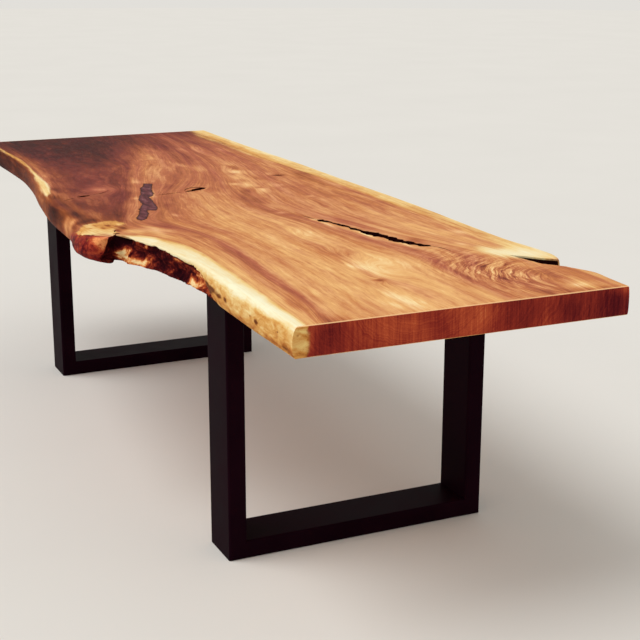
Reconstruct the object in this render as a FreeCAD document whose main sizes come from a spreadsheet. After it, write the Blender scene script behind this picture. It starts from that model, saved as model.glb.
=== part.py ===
"""Live-edge table: one natural-edged board on two welded box-tube frames.

Frame of reference: millimetres, +Z up, the floor at Z = 0. X runs along the board, with the front
frame at +X. The board's burled edge faces -Y. The origin is under the middle of the board's box.
"""

import FreeCAD, Part
import math
import os

import Sketcher

V = FreeCAD.Vector

DIMENSIONS = [
    ("table_height", 762, "floor to the top of the board"),
    ("slab_length", 2870, "board, end to end"),
    ("slab_width", 1026, "board, across its widest points"),
    ("slab_thick", 68, "board thickness"),
    ("end_arris", 2, "small bevel round the board's sawn ends"),
    ("edge_round", 14, "how far the natural edge rolls in at the top face"),
    ("edge_tuck", 7, "how far the natural edge tucks in at the bottom face"),
    ("pocket_deep", 12, "how far the bark pocket is scooped out of the edge beside the burl"),
    ("crack_deep", 30, "depth of the long crack"),
    ("check_deep", 14, "depth of the short cracks"),
    ("cut_overrun", 5, "how far cutting shapes pass a face"),
    ("frame_width", 732, "frame, over the outsides of its posts"),
    ("frame_offset", 75, "frame middle, from the middle of the board's box, in Y"),
    ("end_overhang", 536, "board end to the near face of a frame"),
    ("tube_deep", 136, "tube section along the table"),
    ("tube_thick", 48, "tube section across the post"),
    ("tube_wall", 4, "tube wall"),
    ("tube_corner", 6, "outside corner radius of the tube"),
    ("plate_thick", 8, "top plate"),
    ("plate_corner", 3, "corner radius of the top plate"),
    ("bolt_pitch_across", 480, "bolt columns, spacing in Y"),
    ("bolt_pitch_along", 80, "bolt rows, spacing in X"),
    ("bolt_shank", 8, "bolt shank diameter"),
    ("bolt_reach", 28, "bolt length under its head"),
    ("head_flats", 13, "hexagon bolt head, across flats"),
    ("head_tall", 5.3, "bolt head height"),
    ("slot_gap", 0.5, "gap between a bolt and the side of its slot"),
    ("slot_travel", 12, "how far a bolt can slide along its slot"),
    ("washer_wide", 24, "washer outside diameter"),
    ("washer_thick", 1.6, "washer thickness"),
    ("washer_gap", 0.3, "gap between a bolt and its washer, all round"),
    ("insert_wide", 12, "threaded insert outside diameter"),
    ("insert_long", 20, "threaded insert length"),
    ("insert_sunk", 1, "insert below the board's bottom face"),
    ("thread_gap", 0.1, "gap between a bolt and its insert, all round"),
    ("bore_spare", 6, "bore depth past the insert"),
]

# Natural edges: points on the board's outline as shares of its length and width from the middle,
# then how strongly the edge there tucks in below, rolls in above and is scooped out between.
FAR_EDGE_shares = [
    (0.500, 0.468, 0.4, 0.3, 0.0), (0.474, 0.473, 0.4, 0.3, 0.0), (0.450, 0.477, 0.4, 0.3, 0.0),
    (0.424, 0.451, 0.4, 0.3, 0.0), (0.411, 0.449, 0.4, 0.3, 0.0), (0.400, 0.478, 0.8, 0.5, 0.0),
    (0.386, 0.492, 0.8, 0.4, 0.0), (0.365, 0.494, 0.6, 0.3, 0.0), (0.309, 0.484, 0.6, 0.3, 0.0),
    (0.230, 0.489, 0.6, 0.3, 0.0), (0.140, 0.498, 0.6, 0.3, 0.0), (-0.074, 0.498, 0.6, 0.3, 0.0),
    (-0.170, 0.500, 0.6, 0.3, 0.0), (-0.260, 0.495, 0.6, 0.3, 0.0), (-0.374, 0.491, 0.6, 0.3, 0.0),
    (-0.500, 0.495, 0.6, 0.3, 0.0),
]
BURL_EDGE_shares = [
    (-0.500, -0.373, 1.0, 1.0, 0.0), (-0.350, -0.366, 1.0, 1.0, 0.0),
    (-0.285, -0.371, 1.0, 1.0, 0.0), (-0.206, -0.393, 1.0, 1.0, 0.0),
    (-0.139, -0.421, 1.0, 1.0, 0.0), (-0.040, -0.453, 1.0, 1.0, 0.0),
    (0.050, -0.466, 1.8, 1.2, 0.0), (0.098, -0.484, 4.5, 1.8, 0.0),
    (0.127, -0.498, 7.0, 2.4, 0.0), (0.148, -0.493, 7.0, 2.2, 0.0),
    (0.160, -0.470, 5.0, 1.6, 0.0), (0.159, -0.442, 2.0, 1.2, 0.0),
    (0.148, -0.420, 1.0, 1.0, 0.0),
]
POCKET_EDGE_shares = [
    (0.148, -0.420, 1.0, 1.0, 0.0), (0.156, -0.405, 0.8, 0.9, 0.4), (0.172, -0.392, 0.4, 0.8, 0.9),
    (0.197, -0.368, 0.6, 0.7, 1.0), (0.235, -0.351, 0.8, 0.7, 1.0), (0.275, -0.335, 0.8, 0.8, 0.8),
    (0.300, -0.331, 1.0, 1.0, 0.3), (0.340, -0.335, 1.0, 1.0, 0.0), (0.400, -0.339, 1.0, 1.0, 0.0),
    (0.500, -0.342, 1.0, 1.0, 0.0),
]

# Contours of the board from the bottom face to the top face: the height as a share of the
# thickness, then the shares of edge_tuck, edge_round, pocket_deep and end_arris at that height.
CONTOUR_shares = [
    (0.00, 1.00, 0.00, 0.00, 1.0), (0.05, 0.55, 0.00, 0.15, 0.0), (0.25, 0.10, 0.00, 0.75, 0.0),
    (0.55, 0.00, 0.00, 1.00, 0.0), (0.85, 0.00, 0.20, 0.35, 0.0), (0.96, 0.00, 0.60, 0.05, 0.0),
    (1.00, 0.00, 1.00, 0.00, 1.0),
]

# The hole right through the board: a ragged closed outline, as shares of its length and width.
VOID_shares = [
    (-0.104, -0.109), (-0.100, -0.087), (-0.090, -0.095), (-0.068, -0.118), (-0.047, -0.132),
    (-0.029, -0.146), (-0.021, -0.166), (-0.003, -0.172), (0.011, -0.181), (0.033, -0.191),
    (0.044, -0.200), (0.052, -0.212), (0.047, -0.233), (0.063, -0.243), (0.079, -0.262),
    (0.089, -0.273), (0.095, -0.292), (0.085, -0.297), (0.064, -0.270), (0.041, -0.250),
    (0.027, -0.234), (0.014, -0.217), (-0.010, -0.208), (-0.028, -0.190), (-0.042, -0.173),
    (-0.056, -0.160), (-0.075, -0.146), (-0.085, -0.128),
]

# The split that opens through the far edge, tip first.
SPLIT_shares = [
    (0.368, 0.389), (0.390, 0.401), (0.408, 0.412), (0.424, 0.452), (0.421, 0.520),
    (0.402, 0.520), (0.399, 0.478), (0.389, 0.442), (0.378, 0.419),
]

# Cracks in the top face: points along the middle of each, with half its opening, all as shares of
# the board's length and width. The half opening is a share of the width.
LONG_CRACK_shares = [
    (0.163, 0.149, 0.000), (0.173, 0.164, 0.005), (0.187, 0.171, 0.003), (0.201, 0.181, 0.004),
    (0.216, 0.187, 0.005), (0.228, 0.194, 0.006), (0.242, 0.199, 0.014), (0.255, 0.211, 0.013),
    (0.266, 0.218, 0.009), (0.279, 0.224, 0.013), (0.288, 0.234, 0.011), (0.297, 0.241, 0.007),
    (0.306, 0.262, 0.000),
]
CROSS_CHECK_shares = [
    (-0.036, -0.040, 0.000), (-0.040, -0.018, 0.007), (-0.045, 0.008, 0.009),
    (-0.050, 0.030, 0.008), (-0.051, 0.044, 0.000),
]
BURL_CHECK_shares = [
    (-0.052, -0.355, 0.000), (-0.054, -0.340, 0.006), (-0.058, -0.322, 0.000),
]

FRAMES = [("front_frame", 1), ("rear_frame", -1)]
BOLT_COLUMNS = [-1, 1]
BOLT_ROWS = [-1, 1]

doc = FreeCAD.newDocument("live_edge_table")
sheet = doc.addObject("Spreadsheet::Sheet", "Sizes")
for row, (alias, value, note) in enumerate(DIMENSIONS, start=1):
    sheet.set(f"A{row}", alias)
    sheet.set(f"B{row}", str(value))
    sheet.set(f"C{row}", note)
    sheet.setAlias(f"B{row}", alias)
doc.recompute()

UNDERSIDE = "(Sizes.table_height - Sizes.slab_thick)"
PLATE_FLOOR = f"({UNDERSIDE} - Sizes.plate_thick)"
FRAME_X = "(Sizes.slab_length / 2 - Sizes.end_overhang - Sizes.tube_deep / 2)"


def size(text):
    """The value of a formula in the sheet's sizes, in millimetres."""
    return float(sheet.evalExpression(text.replace("Sizes.", "")))


def bind(thing, prop, formula):
    """Tie one property to a formula in the sheet's sizes."""
    thing.setExpression(prop, formula)


def place(thing, x="0", y="0", z="0"):
    """Tie a piece's position to formulas."""
    for axis, formula in (("x", x), ("y", y), ("z", z)):
        bind(thing, f"Placement.Base.{axis}", formula)


def new_body(label):
    body = doc.addObject("PartDesign::Body", label)
    body.Label = label
    return body


def new_sketch(body, role, name):
    """A sketch on one of the body's own origin planes."""
    sketch = body.newObject("Sketcher::SketchObject", name)
    plane = [item for item in body.Origin.OriginFeatures if item.Role == role][0]
    sketch.AttachmentSupport = [(plane, "")]
    sketch.MapMode = "FlatFace"
    return sketch


def rule(sketch, formula, kind, *picks):
    """Add a dimension to a sketch and tie it to a formula."""
    index = sketch.addConstraint(Sketcher.Constraint(kind, *picks, size(formula)))
    name = f"dimension_{index}"
    sketch.renameConstraint(index, name)
    sketch.setExpression(f"Constraints.{name}", formula)


def rounded_rectangle(sketch, wide, tall, radius):
    """A rectangle about the sketch's origin with four equal rounded corners."""
    half_wide, half_tall, corner = size(wide) / 2, size(tall) / 2, size(radius)
    inner_x, inner_y = half_wide - corner, half_tall - corner
    first = sketch.GeometryCount
    sketch.addGeometry([
        Part.LineSegment(V(-inner_x, -half_tall, 0), V(inner_x, -half_tall, 0)),
        Part.LineSegment(V(half_wide, -inner_y, 0), V(half_wide, inner_y, 0)),
        Part.LineSegment(V(inner_x, half_tall, 0), V(-inner_x, half_tall, 0)),
        Part.LineSegment(V(-half_wide, inner_y, 0), V(-half_wide, -inner_y, 0)),
    ])
    turn = math.pi / 2
    centres = [(inner_x, -inner_y), (inner_x, inner_y), (-inner_x, inner_y), (-inner_x, -inner_y)]
    for step, (x, y) in enumerate(centres, start=-1):
        circle = Part.Circle(V(x, y, 0), V(0, 0, 1), corner)
        sketch.addGeometry(Part.ArcOfCircle(circle, step * turn, (step + 1) * turn))
    lines = [first + k for k in range(4)]
    arcs = [first + 4 + k for k in range(4)]
    for k in range(4):
        sketch.addConstraint(Sketcher.Constraint("Tangent", lines[k], 2, arcs[k], 1))
        sketch.addConstraint(Sketcher.Constraint("Tangent", arcs[k], 2, lines[(k + 1) % 4], 1))
    for k in (0, 2):
        sketch.addConstraint(Sketcher.Constraint("Horizontal", lines[k]))
        sketch.addConstraint(Sketcher.Constraint("Vertical", lines[k + 1]))
    for arc in arcs[1:]:
        sketch.addConstraint(Sketcher.Constraint("Equal", arcs[0], arc))
    sketch.addConstraint(Sketcher.Constraint("Symmetric", arcs[0], 3, arcs[2], 3, -1, 1))
    rule(sketch, wide, "DistanceX", lines[3], 1, lines[1], 1)
    rule(sketch, tall, "DistanceY", lines[0], 1, lines[2], 1)
    rule(sketch, radius, "Radius", arcs[0])


def offset_from_origin(sketch, pick, formula, kind):
    """Set how far a point lies from the sketch's origin along one axis, either side or none."""
    amount = size(formula)
    if amount > 0:
        rule(sketch, formula, kind, -1, 1, *pick)
    elif amount < 0:
        rule(sketch, f"-({formula})", kind, *pick, -1, 1)
    else:
        axis = -2 if kind == "DistanceX" else -1
        sketch.addConstraint(Sketcher.Constraint("PointOnObject", *pick, axis))


def polygon(sketch, corners):
    """A closed outline of straight lines whose corners are pairs of formulas."""
    points = [V(size(x), size(y), 0) for x, y in corners]
    first = sketch.GeometryCount
    count = len(corners)
    for k in range(count):
        sketch.addGeometry(Part.LineSegment(points[k], points[(k + 1) % count]))
    for k in range(count):
        joined = Sketcher.Constraint("Coincident", first + k, 2, first + (k + 1) % count, 1)
        sketch.addConstraint(joined)
    for k, (x, y) in enumerate(corners):
        offset_from_origin(sketch, (first + k, 1), x, "DistanceX")
        offset_from_origin(sketch, (first + k, 1), y, "DistanceY")


def slot(sketch, x, y, radius, travel):
    """A slot that runs along the sketch's vertical axis, centred on x, y."""
    centre, reach, half = V(size(x), size(y), 0), size(travel) / 2, size(radius)
    top, bottom = centre + V(0, reach, 0), centre - V(0, reach, 0)
    first = sketch.GeometryCount
    up = V(0, 0, 1)
    sketch.addGeometry(Part.ArcOfCircle(Part.Circle(top, up, half), 0, math.pi))
    sketch.addGeometry(Part.LineSegment(top - V(half, 0, 0), bottom - V(half, 0, 0)))
    sketch.addGeometry(Part.ArcOfCircle(Part.Circle(bottom, up, half), math.pi, 2 * math.pi))
    sketch.addGeometry(Part.LineSegment(bottom + V(half, 0, 0), top + V(half, 0, 0)))
    for k in range(4):
        following = first + (k + 1) % 4
        sketch.addConstraint(Sketcher.Constraint("Tangent", first + k, 2, following, 1))
    sketch.addConstraint(Sketcher.Constraint("Vertical", first + 1))
    rule(sketch, radius, "Radius", first)
    rule(sketch, travel, "DistanceY", first + 2, 3, first, 3)
    offset_from_origin(sketch, (first, 3), x, "DistanceX")
    offset_from_origin(sketch, (first, 3), f"{y} + {travel} / 2", "DistanceY")


def pad(body, sketch, length, symmetric=False):
    feature = body.newObject("PartDesign::Pad", "Pad")
    feature.Profile = sketch
    feature.SideType = "Symmetric" if symmetric else "One side"
    bind(feature, "Length", length)
    return feature


def cut_through(body, sketch):
    """Cut a sketch right through the body, both ways from its plane."""
    feature = body.newObject("PartDesign::Pocket", "Pocket")
    feature.Profile = sketch
    feature.SideType = "Symmetric"
    feature.Type = "ThroughAll"
    return feature


def tube_section(sketch):
    """The tube's outer and inner outlines; the tube is deep in X and thick the other way."""
    rounded_rectangle(sketch, "Sizes.tube_deep", "Sizes.tube_thick", "Sizes.tube_corner")
    inner = [f"(Sizes.{side} - 2 * Sizes.tube_wall)" for side in ("tube_deep", "tube_thick")]
    rounded_rectangle(sketch, *inner, "(Sizes.tube_corner - Sizes.tube_wall)")


def make_post(label, frame_side, post_side):
    """A post: tube on end, mitred at the foot so that its outer wall reaches the floor."""
    body = new_body(label)
    section = new_sketch(body, "XY_Plane", "Section")
    tube_section(section)
    pad(body, section, PLATE_FLOOR)
    mitre = new_sketch(body, "YZ_Plane", "Mitre")
    half = "Sizes.tube_thick / 2"
    polygon(mitre, [(f"-{half}", "0"), (half, "0"), (half, "Sizes.tube_thick")])
    cut_through(body, mitre)
    if post_side > 0:
        body.Placement = FreeCAD.Placement(V(0, 0, 0), FreeCAD.Rotation(V(0, 0, 1), 180))
    reach = f"{post_side} * (Sizes.frame_width - Sizes.tube_thick) / 2"
    place(body, f"{frame_side} * {FRAME_X}", f"Sizes.frame_offset + {reach}")
    return body


def make_floor_rail(label, frame_side):
    """The rail on the floor: tube on its side, mitred at both ends to meet the posts."""
    body = new_body(label)
    section = new_sketch(body, "XZ_Plane", "Section")
    tube_section(section)
    pad(body, section, "Sizes.frame_width", symmetric=True)
    mitre = new_sketch(body, "YZ_Plane", "Mitres")
    half, end = "Sizes.tube_thick / 2", "Sizes.frame_width / 2"
    for side in ("", "-"):
        polygon(mitre, [
            (f"{side}({end})", f"-{half}"),
            (f"{side}({end})", half),
            (f"{side}({end} - Sizes.tube_thick)", half),
        ])
    cut_through(body, mitre)
    place(body, f"{frame_side} * {FRAME_X}", "Sizes.frame_offset", half)
    return body


def bolt_places():
    """Where the bolts of one frame stand, as formulas from the frame's middle."""
    return [
        (f"{row} * Sizes.bolt_pitch_along / 2", f"{column} * Sizes.bolt_pitch_across / 2")
        for row in BOLT_ROWS
        for column in BOLT_COLUMNS
    ]


def make_top_plate(label, frame_side):
    """The flat plate welded across both posts, slotted so that the board can shrink and swell."""
    body = new_body(label)
    outline = new_sketch(body, "XY_Plane", "Outline")
    rounded_rectangle(outline, "Sizes.tube_deep", "Sizes.frame_width", "Sizes.plate_corner")
    pad(body, outline, "Sizes.plate_thick")
    slots = new_sketch(body, "XY_Plane", "Slots")
    for x, y in bolt_places():
        slot(slots, x, y, "Sizes.bolt_shank / 2 + Sizes.slot_gap", "Sizes.slot_travel")
    cut_through(body, slots)
    place(body, f"{frame_side} * {FRAME_X}", "Sizes.frame_offset", PLATE_FLOOR)
    return body


def circle(sketch, radius):
    """A circle about the sketch's origin."""
    index = sketch.addGeometry(Part.Circle(V(0, 0, 0), V(0, 0, 1), size(radius)))
    sketch.addConstraint(Sketcher.Constraint("Coincident", index, 3, -1, 1))
    rule(sketch, radius, "Radius", index)


def make_bolt_pattern():
    """One bolt: a hexagon head hanging under the XY plane and a plain shank standing on it."""
    body = new_body("bolt")
    hexagon = new_sketch(body, "XY_Plane", "Head")
    across = "Sizes.head_flats / 2"
    corner = f"({across} / cos(30 deg))"
    polygon(hexagon, [
        (corner, "0"), (f"{corner} / 2", across), (f"-{corner} / 2", across),
        (f"-{corner}", "0"), (f"-{corner} / 2", f"-{across}"), (f"{corner} / 2", f"-{across}"),
    ])
    head = pad(body, hexagon, "Sizes.head_tall")
    head.Reversed = True
    doc.recompute()
    shank = new_sketch(body, "XY_Plane", "Shank")
    circle(shank, "Sizes.bolt_shank / 2")
    pad(body, shank, "Sizes.bolt_reach")
    return body


def make_ring_pattern(label, outside, inside, length):
    """A plain ring on the XY plane, standing up from it: a washer or an insert's sleeve."""
    body = new_body(label)
    rings = new_sketch(body, "XY_Plane", "Rings")
    circle(rings, outside)
    circle(rings, inside)
    pad(body, rings, length)
    return body


def fastener_group(label, pattern, frame_side, height):
    """One of the pattern at each bolt's place in a frame, kept as separate solids."""
    links = []
    for number, (x, y) in enumerate(bolt_places(), start=1):
        link = doc.addObject("App::Link", f"{label}_{number}")
        link.LinkedObject = pattern
        place(link, f"{frame_side} * {FRAME_X} + {x}", f"Sizes.frame_offset + {y}", height)
        links.append(link)
    group = doc.addObject("Part::Compound", label)
    group.Label = label
    group.Links = links
    return group


def board_contour(height_share, tuck_share, round_share, scoop_share, bevel_share):
    """The board's closed outline at one height: two natural edges and two sawn ends."""
    height = size("table_height - slab_thick") + height_share * size("slab_thick")
    tuck = tuck_share * size("edge_tuck")
    roll = round_share * size("edge_round")
    scoop = scoop_share * size("pocket_deep")
    end = size("slab_length") / 2 - bevel_share * size("end_arris")

    def natural_edge(shares):
        points = []
        for share_x, share_y, tuck_by, roll_by, scoop_by in shares:
            inward = tuck * tuck_by + roll * roll_by + scoop * scoop_by
            x = share_x * size("slab_length")
            y = share_y * size("slab_width") - math.copysign(inward, share_y)
            points.append(V(max(-end, min(end, x)), y, height))
        knots = [0]
        for last, point in zip(points, points[1:]):
            knots.append(knots[-1] + math.sqrt(last.distanceToPoint(point)))
        curve = Part.BSplineCurve()
        curve.interpolate(Points=points, Parameters=knots)
        return curve.toShape()

    burl, pocket, far = map(natural_edge, (BURL_EDGE_shares, POCKET_EDGE_shares, FAR_EDGE_shares))
    front_end = Part.makeLine(pocket.lastVertex().Point, far.firstVertex().Point)
    rear_end = Part.makeLine(far.lastVertex().Point, burl.firstVertex().Point)
    contour = doc.addObject("Part::Feature", "Contour")
    contour.Shape = Part.Wire([burl, pocket, front_end, far, rear_end])
    return contour


def on_board(share_x, share_y, height):
    """A point at a share of the board's length and width from its middle."""
    return V(share_x * size("slab_length"), share_y * size("slab_width"), height)


def closed_polygon(name, points):
    """A closed outline of straight lines as a wire of its own."""
    outline = doc.addObject("Part::Feature", name)
    outline.Shape = Part.makePolygon(points + points[:1])
    return outline


def crack_outline(name, shares, height):
    """A long thin closed outline that opens and shuts along the middle of a crack."""
    middle = [on_board(x, y, height) for x, y, half in shares]
    openings = [half * size("slab_width") for x, y, half in shares]
    left, right = [], []
    for k in range(1, len(middle) - 1):
        along = middle[k + 1] - middle[k - 1]
        across = V(-along.y, along.x, 0).normalize() * openings[k]
        left.append(middle[k] + across)
        right.append(middle[k] - across)
    return closed_polygon(name, [middle[0]] + right + [middle[-1]] + left[::-1])


def prism(name, outline, length):
    """An outline drawn upwards into a solid."""
    solid = doc.addObject("Part::Extrusion", name)
    solid.Base = outline
    solid.DirMode = "Custom"
    solid.Dir = V(0, 0, 1)
    solid.Solid = True
    bind(solid, "LengthFwd", length)
    return solid


def make_board():
    """The live-edge board and the resin that fills its hole."""
    blank = doc.addObject("Part::Loft", "BoardBlank")
    blank.Sections = [board_contour(*shares) for shares in CONTOUR_shares]
    blank.Solid = True
    blank.Ruled = True

    underside = size("table_height - slab_thick")
    below = underside - size("cut_overrun")
    through = "Sizes.slab_thick + 2 * Sizes.cut_overrun"
    hole = closed_polygon("VoidOutline", [on_board(x, y, underside) for x, y in VOID_shares])
    fill = prism("void_fill", hole, "Sizes.slab_thick")
    fill.Label = "void_fill"
    split = closed_polygon("SplitOutline", [on_board(x, y, below) for x, y in SPLIT_shares])
    cutters = [prism("SplitCut", split, through)]
    cracks = [
        ("LongCrack", LONG_CRACK_shares, "crack_deep"),
        ("CrossCheck", CROSS_CHECK_shares, "check_deep"),
        ("BurlCheck", BURL_CHECK_shares, "check_deep"),
    ]
    for name, shares, depth in cracks:
        outline = crack_outline(name, shares, size(f"table_height - {depth}"))
        cutters.append(prism(f"{name}Cut", outline, f"Sizes.{depth} + Sizes.cut_overrun"))
    for frame_name, frame_side in FRAMES:
        for number, (x, y) in enumerate(bolt_places(), start=1):
            bore = doc.addObject("Part::Cylinder", f"{frame_name}_bore_{number}")
            bind(bore, "Radius", "Sizes.insert_wide / 2")
            depth = "Sizes.cut_overrun + Sizes.insert_sunk + Sizes.insert_long + Sizes.bore_spare"
            bind(bore, "Height", depth)
            across = f"Sizes.frame_offset + {y}"
            place(bore, f"{frame_side} * {FRAME_X} + {x}", across, f"{UNDERSIDE} - Sizes.cut_overrun")
            cutters.append(bore)
    tools = doc.addObject("Part::Compound", "BoardCutters")
    tools.Links = cutters + [prism("VoidCut", hole, "Sizes.slab_thick")]
    board = doc.addObject("Part::Cut", "slab_top")
    board.Label = "slab_top"
    board.Base = blank
    board.Tool = tools
    return [board, fill]


def make_frame(name, side, patterns):
    """One welded frame with its fasteners."""
    head_seat = f"{PLATE_FLOOR} - Sizes.washer_thick"
    return [
        make_post(f"{name}_left_post", side, -1),
        make_post(f"{name}_right_post", side, 1),
        make_floor_rail(f"{name}_floor_rail", side),
        make_top_plate(f"{name}_top_plate", side),
        fastener_group(f"{name}_bolts", patterns["bolt"], side, head_seat),
        fastener_group(f"{name}_washers", patterns["washer"], side, head_seat),
        fastener_group(f"{name}_inserts", patterns["insert"], side, f"{UNDERSIDE} + Sizes.insert_sunk"),
    ]


def check(pieces):
    """Stop if any object failed or any piece has a null, open or broken shape."""
    for thing in doc.Objects:
        if {"Invalid", "Error"} & set(thing.State):
            raise RuntimeError(f"{thing.Name} is {thing.State}")
    for piece in pieces:
        shape = piece.Shape
        if shape.isNull() or not shape.isValid() or not shape.Solids:
            raise RuntimeError(f"{piece.Label} has no sound solid")


shank_hole = "Sizes.bolt_shank / 2 + Sizes."
patterns = {
    "bolt": make_bolt_pattern(),
    "washer": make_ring_pattern(
        "washer", "Sizes.washer_wide / 2", shank_hole + "washer_gap", "Sizes.washer_thick"
    ),
    "insert": make_ring_pattern(
        "insert", "Sizes.insert_wide / 2", shank_hole + "thread_gap", "Sizes.insert_long"
    ),
}
pieces = make_board()
for frame_name, frame_side in FRAMES:
    pieces += make_frame(frame_name, frame_side, patterns)
doc.recompute()
check(pieces)

os.makedirs("parts", exist_ok=True)
for piece in pieces:
    piece.Shape.exportStep(f"parts/{piece.Label}.step")
    box = piece.Shape.BoundBox
    print(
        f"{piece.Label}: {len(piece.Shape.Solids)} solids, {piece.Shape.Volume:.0f} mm3,",
        f"X {box.XMin:.1f} {box.XMax:.1f} Y {box.YMin:.1f} {box.YMax:.1f} Z {box.ZMin:.1f} {box.ZMax:.1f}",
    )
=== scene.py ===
"""Looks of a live-edge table: one natural-edged board on two welded box-tube frames.

Frame of reference: metres, +Z up, the floor at Z = 0. X runs along the board, with the front frame
at +X. The board's burled edge faces -Y. Most tables hold whole numbers: what each column
is divided by, at the table's end or where it is read, makes it metres, shares or strengths.
"""

import math

import bpy
import numpy as np
from mathutils import Matrix, Vector
from mathutils.geometry import delaunay_2d_cdt


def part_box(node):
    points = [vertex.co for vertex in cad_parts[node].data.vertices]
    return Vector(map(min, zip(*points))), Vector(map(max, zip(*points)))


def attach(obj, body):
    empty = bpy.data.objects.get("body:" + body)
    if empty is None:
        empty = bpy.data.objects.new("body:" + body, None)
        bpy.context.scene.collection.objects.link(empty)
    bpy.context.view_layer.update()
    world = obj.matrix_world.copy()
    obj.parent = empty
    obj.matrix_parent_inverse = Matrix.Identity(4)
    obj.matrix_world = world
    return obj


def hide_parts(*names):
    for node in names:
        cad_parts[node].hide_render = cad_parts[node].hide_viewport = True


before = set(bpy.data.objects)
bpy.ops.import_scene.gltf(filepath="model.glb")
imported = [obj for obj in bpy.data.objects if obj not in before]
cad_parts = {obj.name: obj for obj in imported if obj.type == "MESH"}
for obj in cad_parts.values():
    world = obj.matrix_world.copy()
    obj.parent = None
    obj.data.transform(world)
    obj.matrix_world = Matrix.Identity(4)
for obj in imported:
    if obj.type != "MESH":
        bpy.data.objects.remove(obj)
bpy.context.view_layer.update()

bl_info = {
    "name": "Live-edge table",
    "version": (1, 0, 0),
    "blender": (4, 5, 0),
    "location": "View3D > Sidebar > Table",
    "description": "Builds a live-edge board, its resin, its powder-coated frames and a plain studio",
    "category": "Add Mesh",
}

BOARD_LOW, BOARD_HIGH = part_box("slab_top")
FRAMES = ("front_frame", "rear_frame")
TUBES = ("left_post", "right_post", "floor_rail", "top_plate")

# Natural edges: points on the board's outline as shares of its length and width from the middle,
# then how strongly the edge there tucks in below, rolls in above and is scooped out between.
EDGE_PARTS = (1000, 1000, 10, 10, 10)
FAR_EDGE = np.array([
    (500, 468, 4, 3, 0), (474, 473, 4, 3, 0), (450, 477, 4, 3, 0), (424, 451, 4, 3, 0),
    (411, 449, 4, 3, 0), (400, 478, 8, 5, 0), (386, 492, 8, 4, 0), (365, 494, 6, 3, 0),
    (309, 484, 6, 3, 0), (230, 489, 6, 3, 0), (140, 498, 6, 3, 0), (-74, 498, 6, 3, 0),
    (-170, 500, 6, 3, 0), (-260, 495, 6, 3, 0), (-374, 491, 6, 3, 0), (-500, 495, 6, 3, 0),
]) / EDGE_PARTS
BURL_EDGE = np.array([
    (-500, -373, 10, 10, 0), (-350, -366, 10, 10, 0), (-285, -371, 10, 10, 0), (-206, -393, 10, 9, 0),
    (-139, -421, 10, 7, 0), (-40, -453, 12, 15, 0), (50, -466, 18, 14, 0), (98, -484, 45, 18, 0),
    (127, -498, 70, 24, 0), (148, -493, 70, 22, 0), (160, -470, 50, 16, 0), (159, -442, 20, 12, 0),
    (148, -420, 10, 10, 0),
]) / EDGE_PARTS
POCKET_EDGE = np.array([
    (148, -420, 10, 10, 0), (156, -405, 8, 9, 4), (172, -392, 4, 8, 9), (197, -368, 6, 7, 10),
    (235, -351, 8, 7, 10), (275, -335, 8, 8, 8), (300, -331, 10, 10, 3), (340, -335, 10, 10, 0),
    (400, -339, 10, 10, 0), (500, -342, 10, 10, 0),
]) / EDGE_PARTS
MOUTH_FRONT, MOUTH_REAR = 3, 5      # the far edge's points at either side of the split's mouth
SPLIT_FRONT_WALL = np.array([(408, 412), (390, 401), (368, 389)]) / 1000
SPLIT_REAR_WALL = np.array([(378, 419), (389, 442)]) / 1000

# The hole right through the board: a ragged closed outline, as shares of its length and width.
VOID = np.array([
    (-104, -109), (-100, -87), (-90, -95), (-68, -118), (-47, -132), (-29, -146), (-21, -166),
    (-3, -172), (11, -181), (33, -191), (44, -200), (52, -212), (47, -233), (63, -243), (79, -262),
    (89, -273), (95, -292), (85, -297), (64, -270), (41, -250), (27, -234), (14, -217), (-10, -208),
    (-28, -190), (-42, -173), (-56, -160), (-75, -146), (-85, -128),
]) / 1000

# Cracks in the top face: the size that gives the depth, then points along the middle in
# ten-thousandths of the board's length and width, with half the opening there as a share of its
# width. The long crack comes first, then two short ones and the hairlines.
CRACK_PARTS = 10000
CRACKS = [
    ("crack_deep", [
        (1600, 1470, 0), (1630, 1500, 90), (1720, 1600, 80), (1800, 1660, 30), (1880, 1720, 80),
        (2000, 1800, 70), (2060, 1820, 30), (2140, 1860, 90), (2240, 1910, 50), (2310, 1960, 120),
        (2420, 2000, 170), (2540, 2100, 130), (2660, 2180, 120), (2770, 2240, 150), (2880, 2340, 140),
        (2970, 2430, 100), (3040, 2540, 110), (3080, 2630, 90), (3100, 2670, 0),
    ]),
    ("check_deep", [
        (-360, -400, 0), (-400, -180, 80), (-450, 80, 110), (-500, 300, 110), (-510, 440, 0),
    ]),
    ("check_deep", [(-530, -3600, 0), (-550, -3440, 80), (-562, -3300, 80), (-580, -3150, 0)]),
    ("hairline_deep", [(-380, -4080, 0), (-450, -3860, 14), (-505, -3680, 0)]),
    ("hairline_deep", [(-605, -3050, 0), (-640, -2820, 16), (-790, -2430, 0)]),
    ("hairline_deep", [(1370, -4020, 0), (1330, -3970, 22), (1290, -3930, 0)]),
    ("hairline_deep", [(-300, -1410, 0), (-315, -1080, 14), (-350, -700, 11), (-370, -490, 0)]),
    ("hairline_deep", [
        (-535, 410, 0), (-575, 200, 34), (-565, -60, 28), (-500, -240, 13), (-440, -340, 0),
    ]),
    ("hairline_deep", [(-975, 3140, 0), (-955, 3380, 60), (-940, 3620, 0)]),
    ("hairline_deep", [(1360, 1330, 0), (1460, 1390, 12), (1590, 1450, 0)]),
    ("hairline_deep", [(3090, 2690, 0), (3200, 2810, 14), (3330, 2850, 0)]),
]

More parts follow.
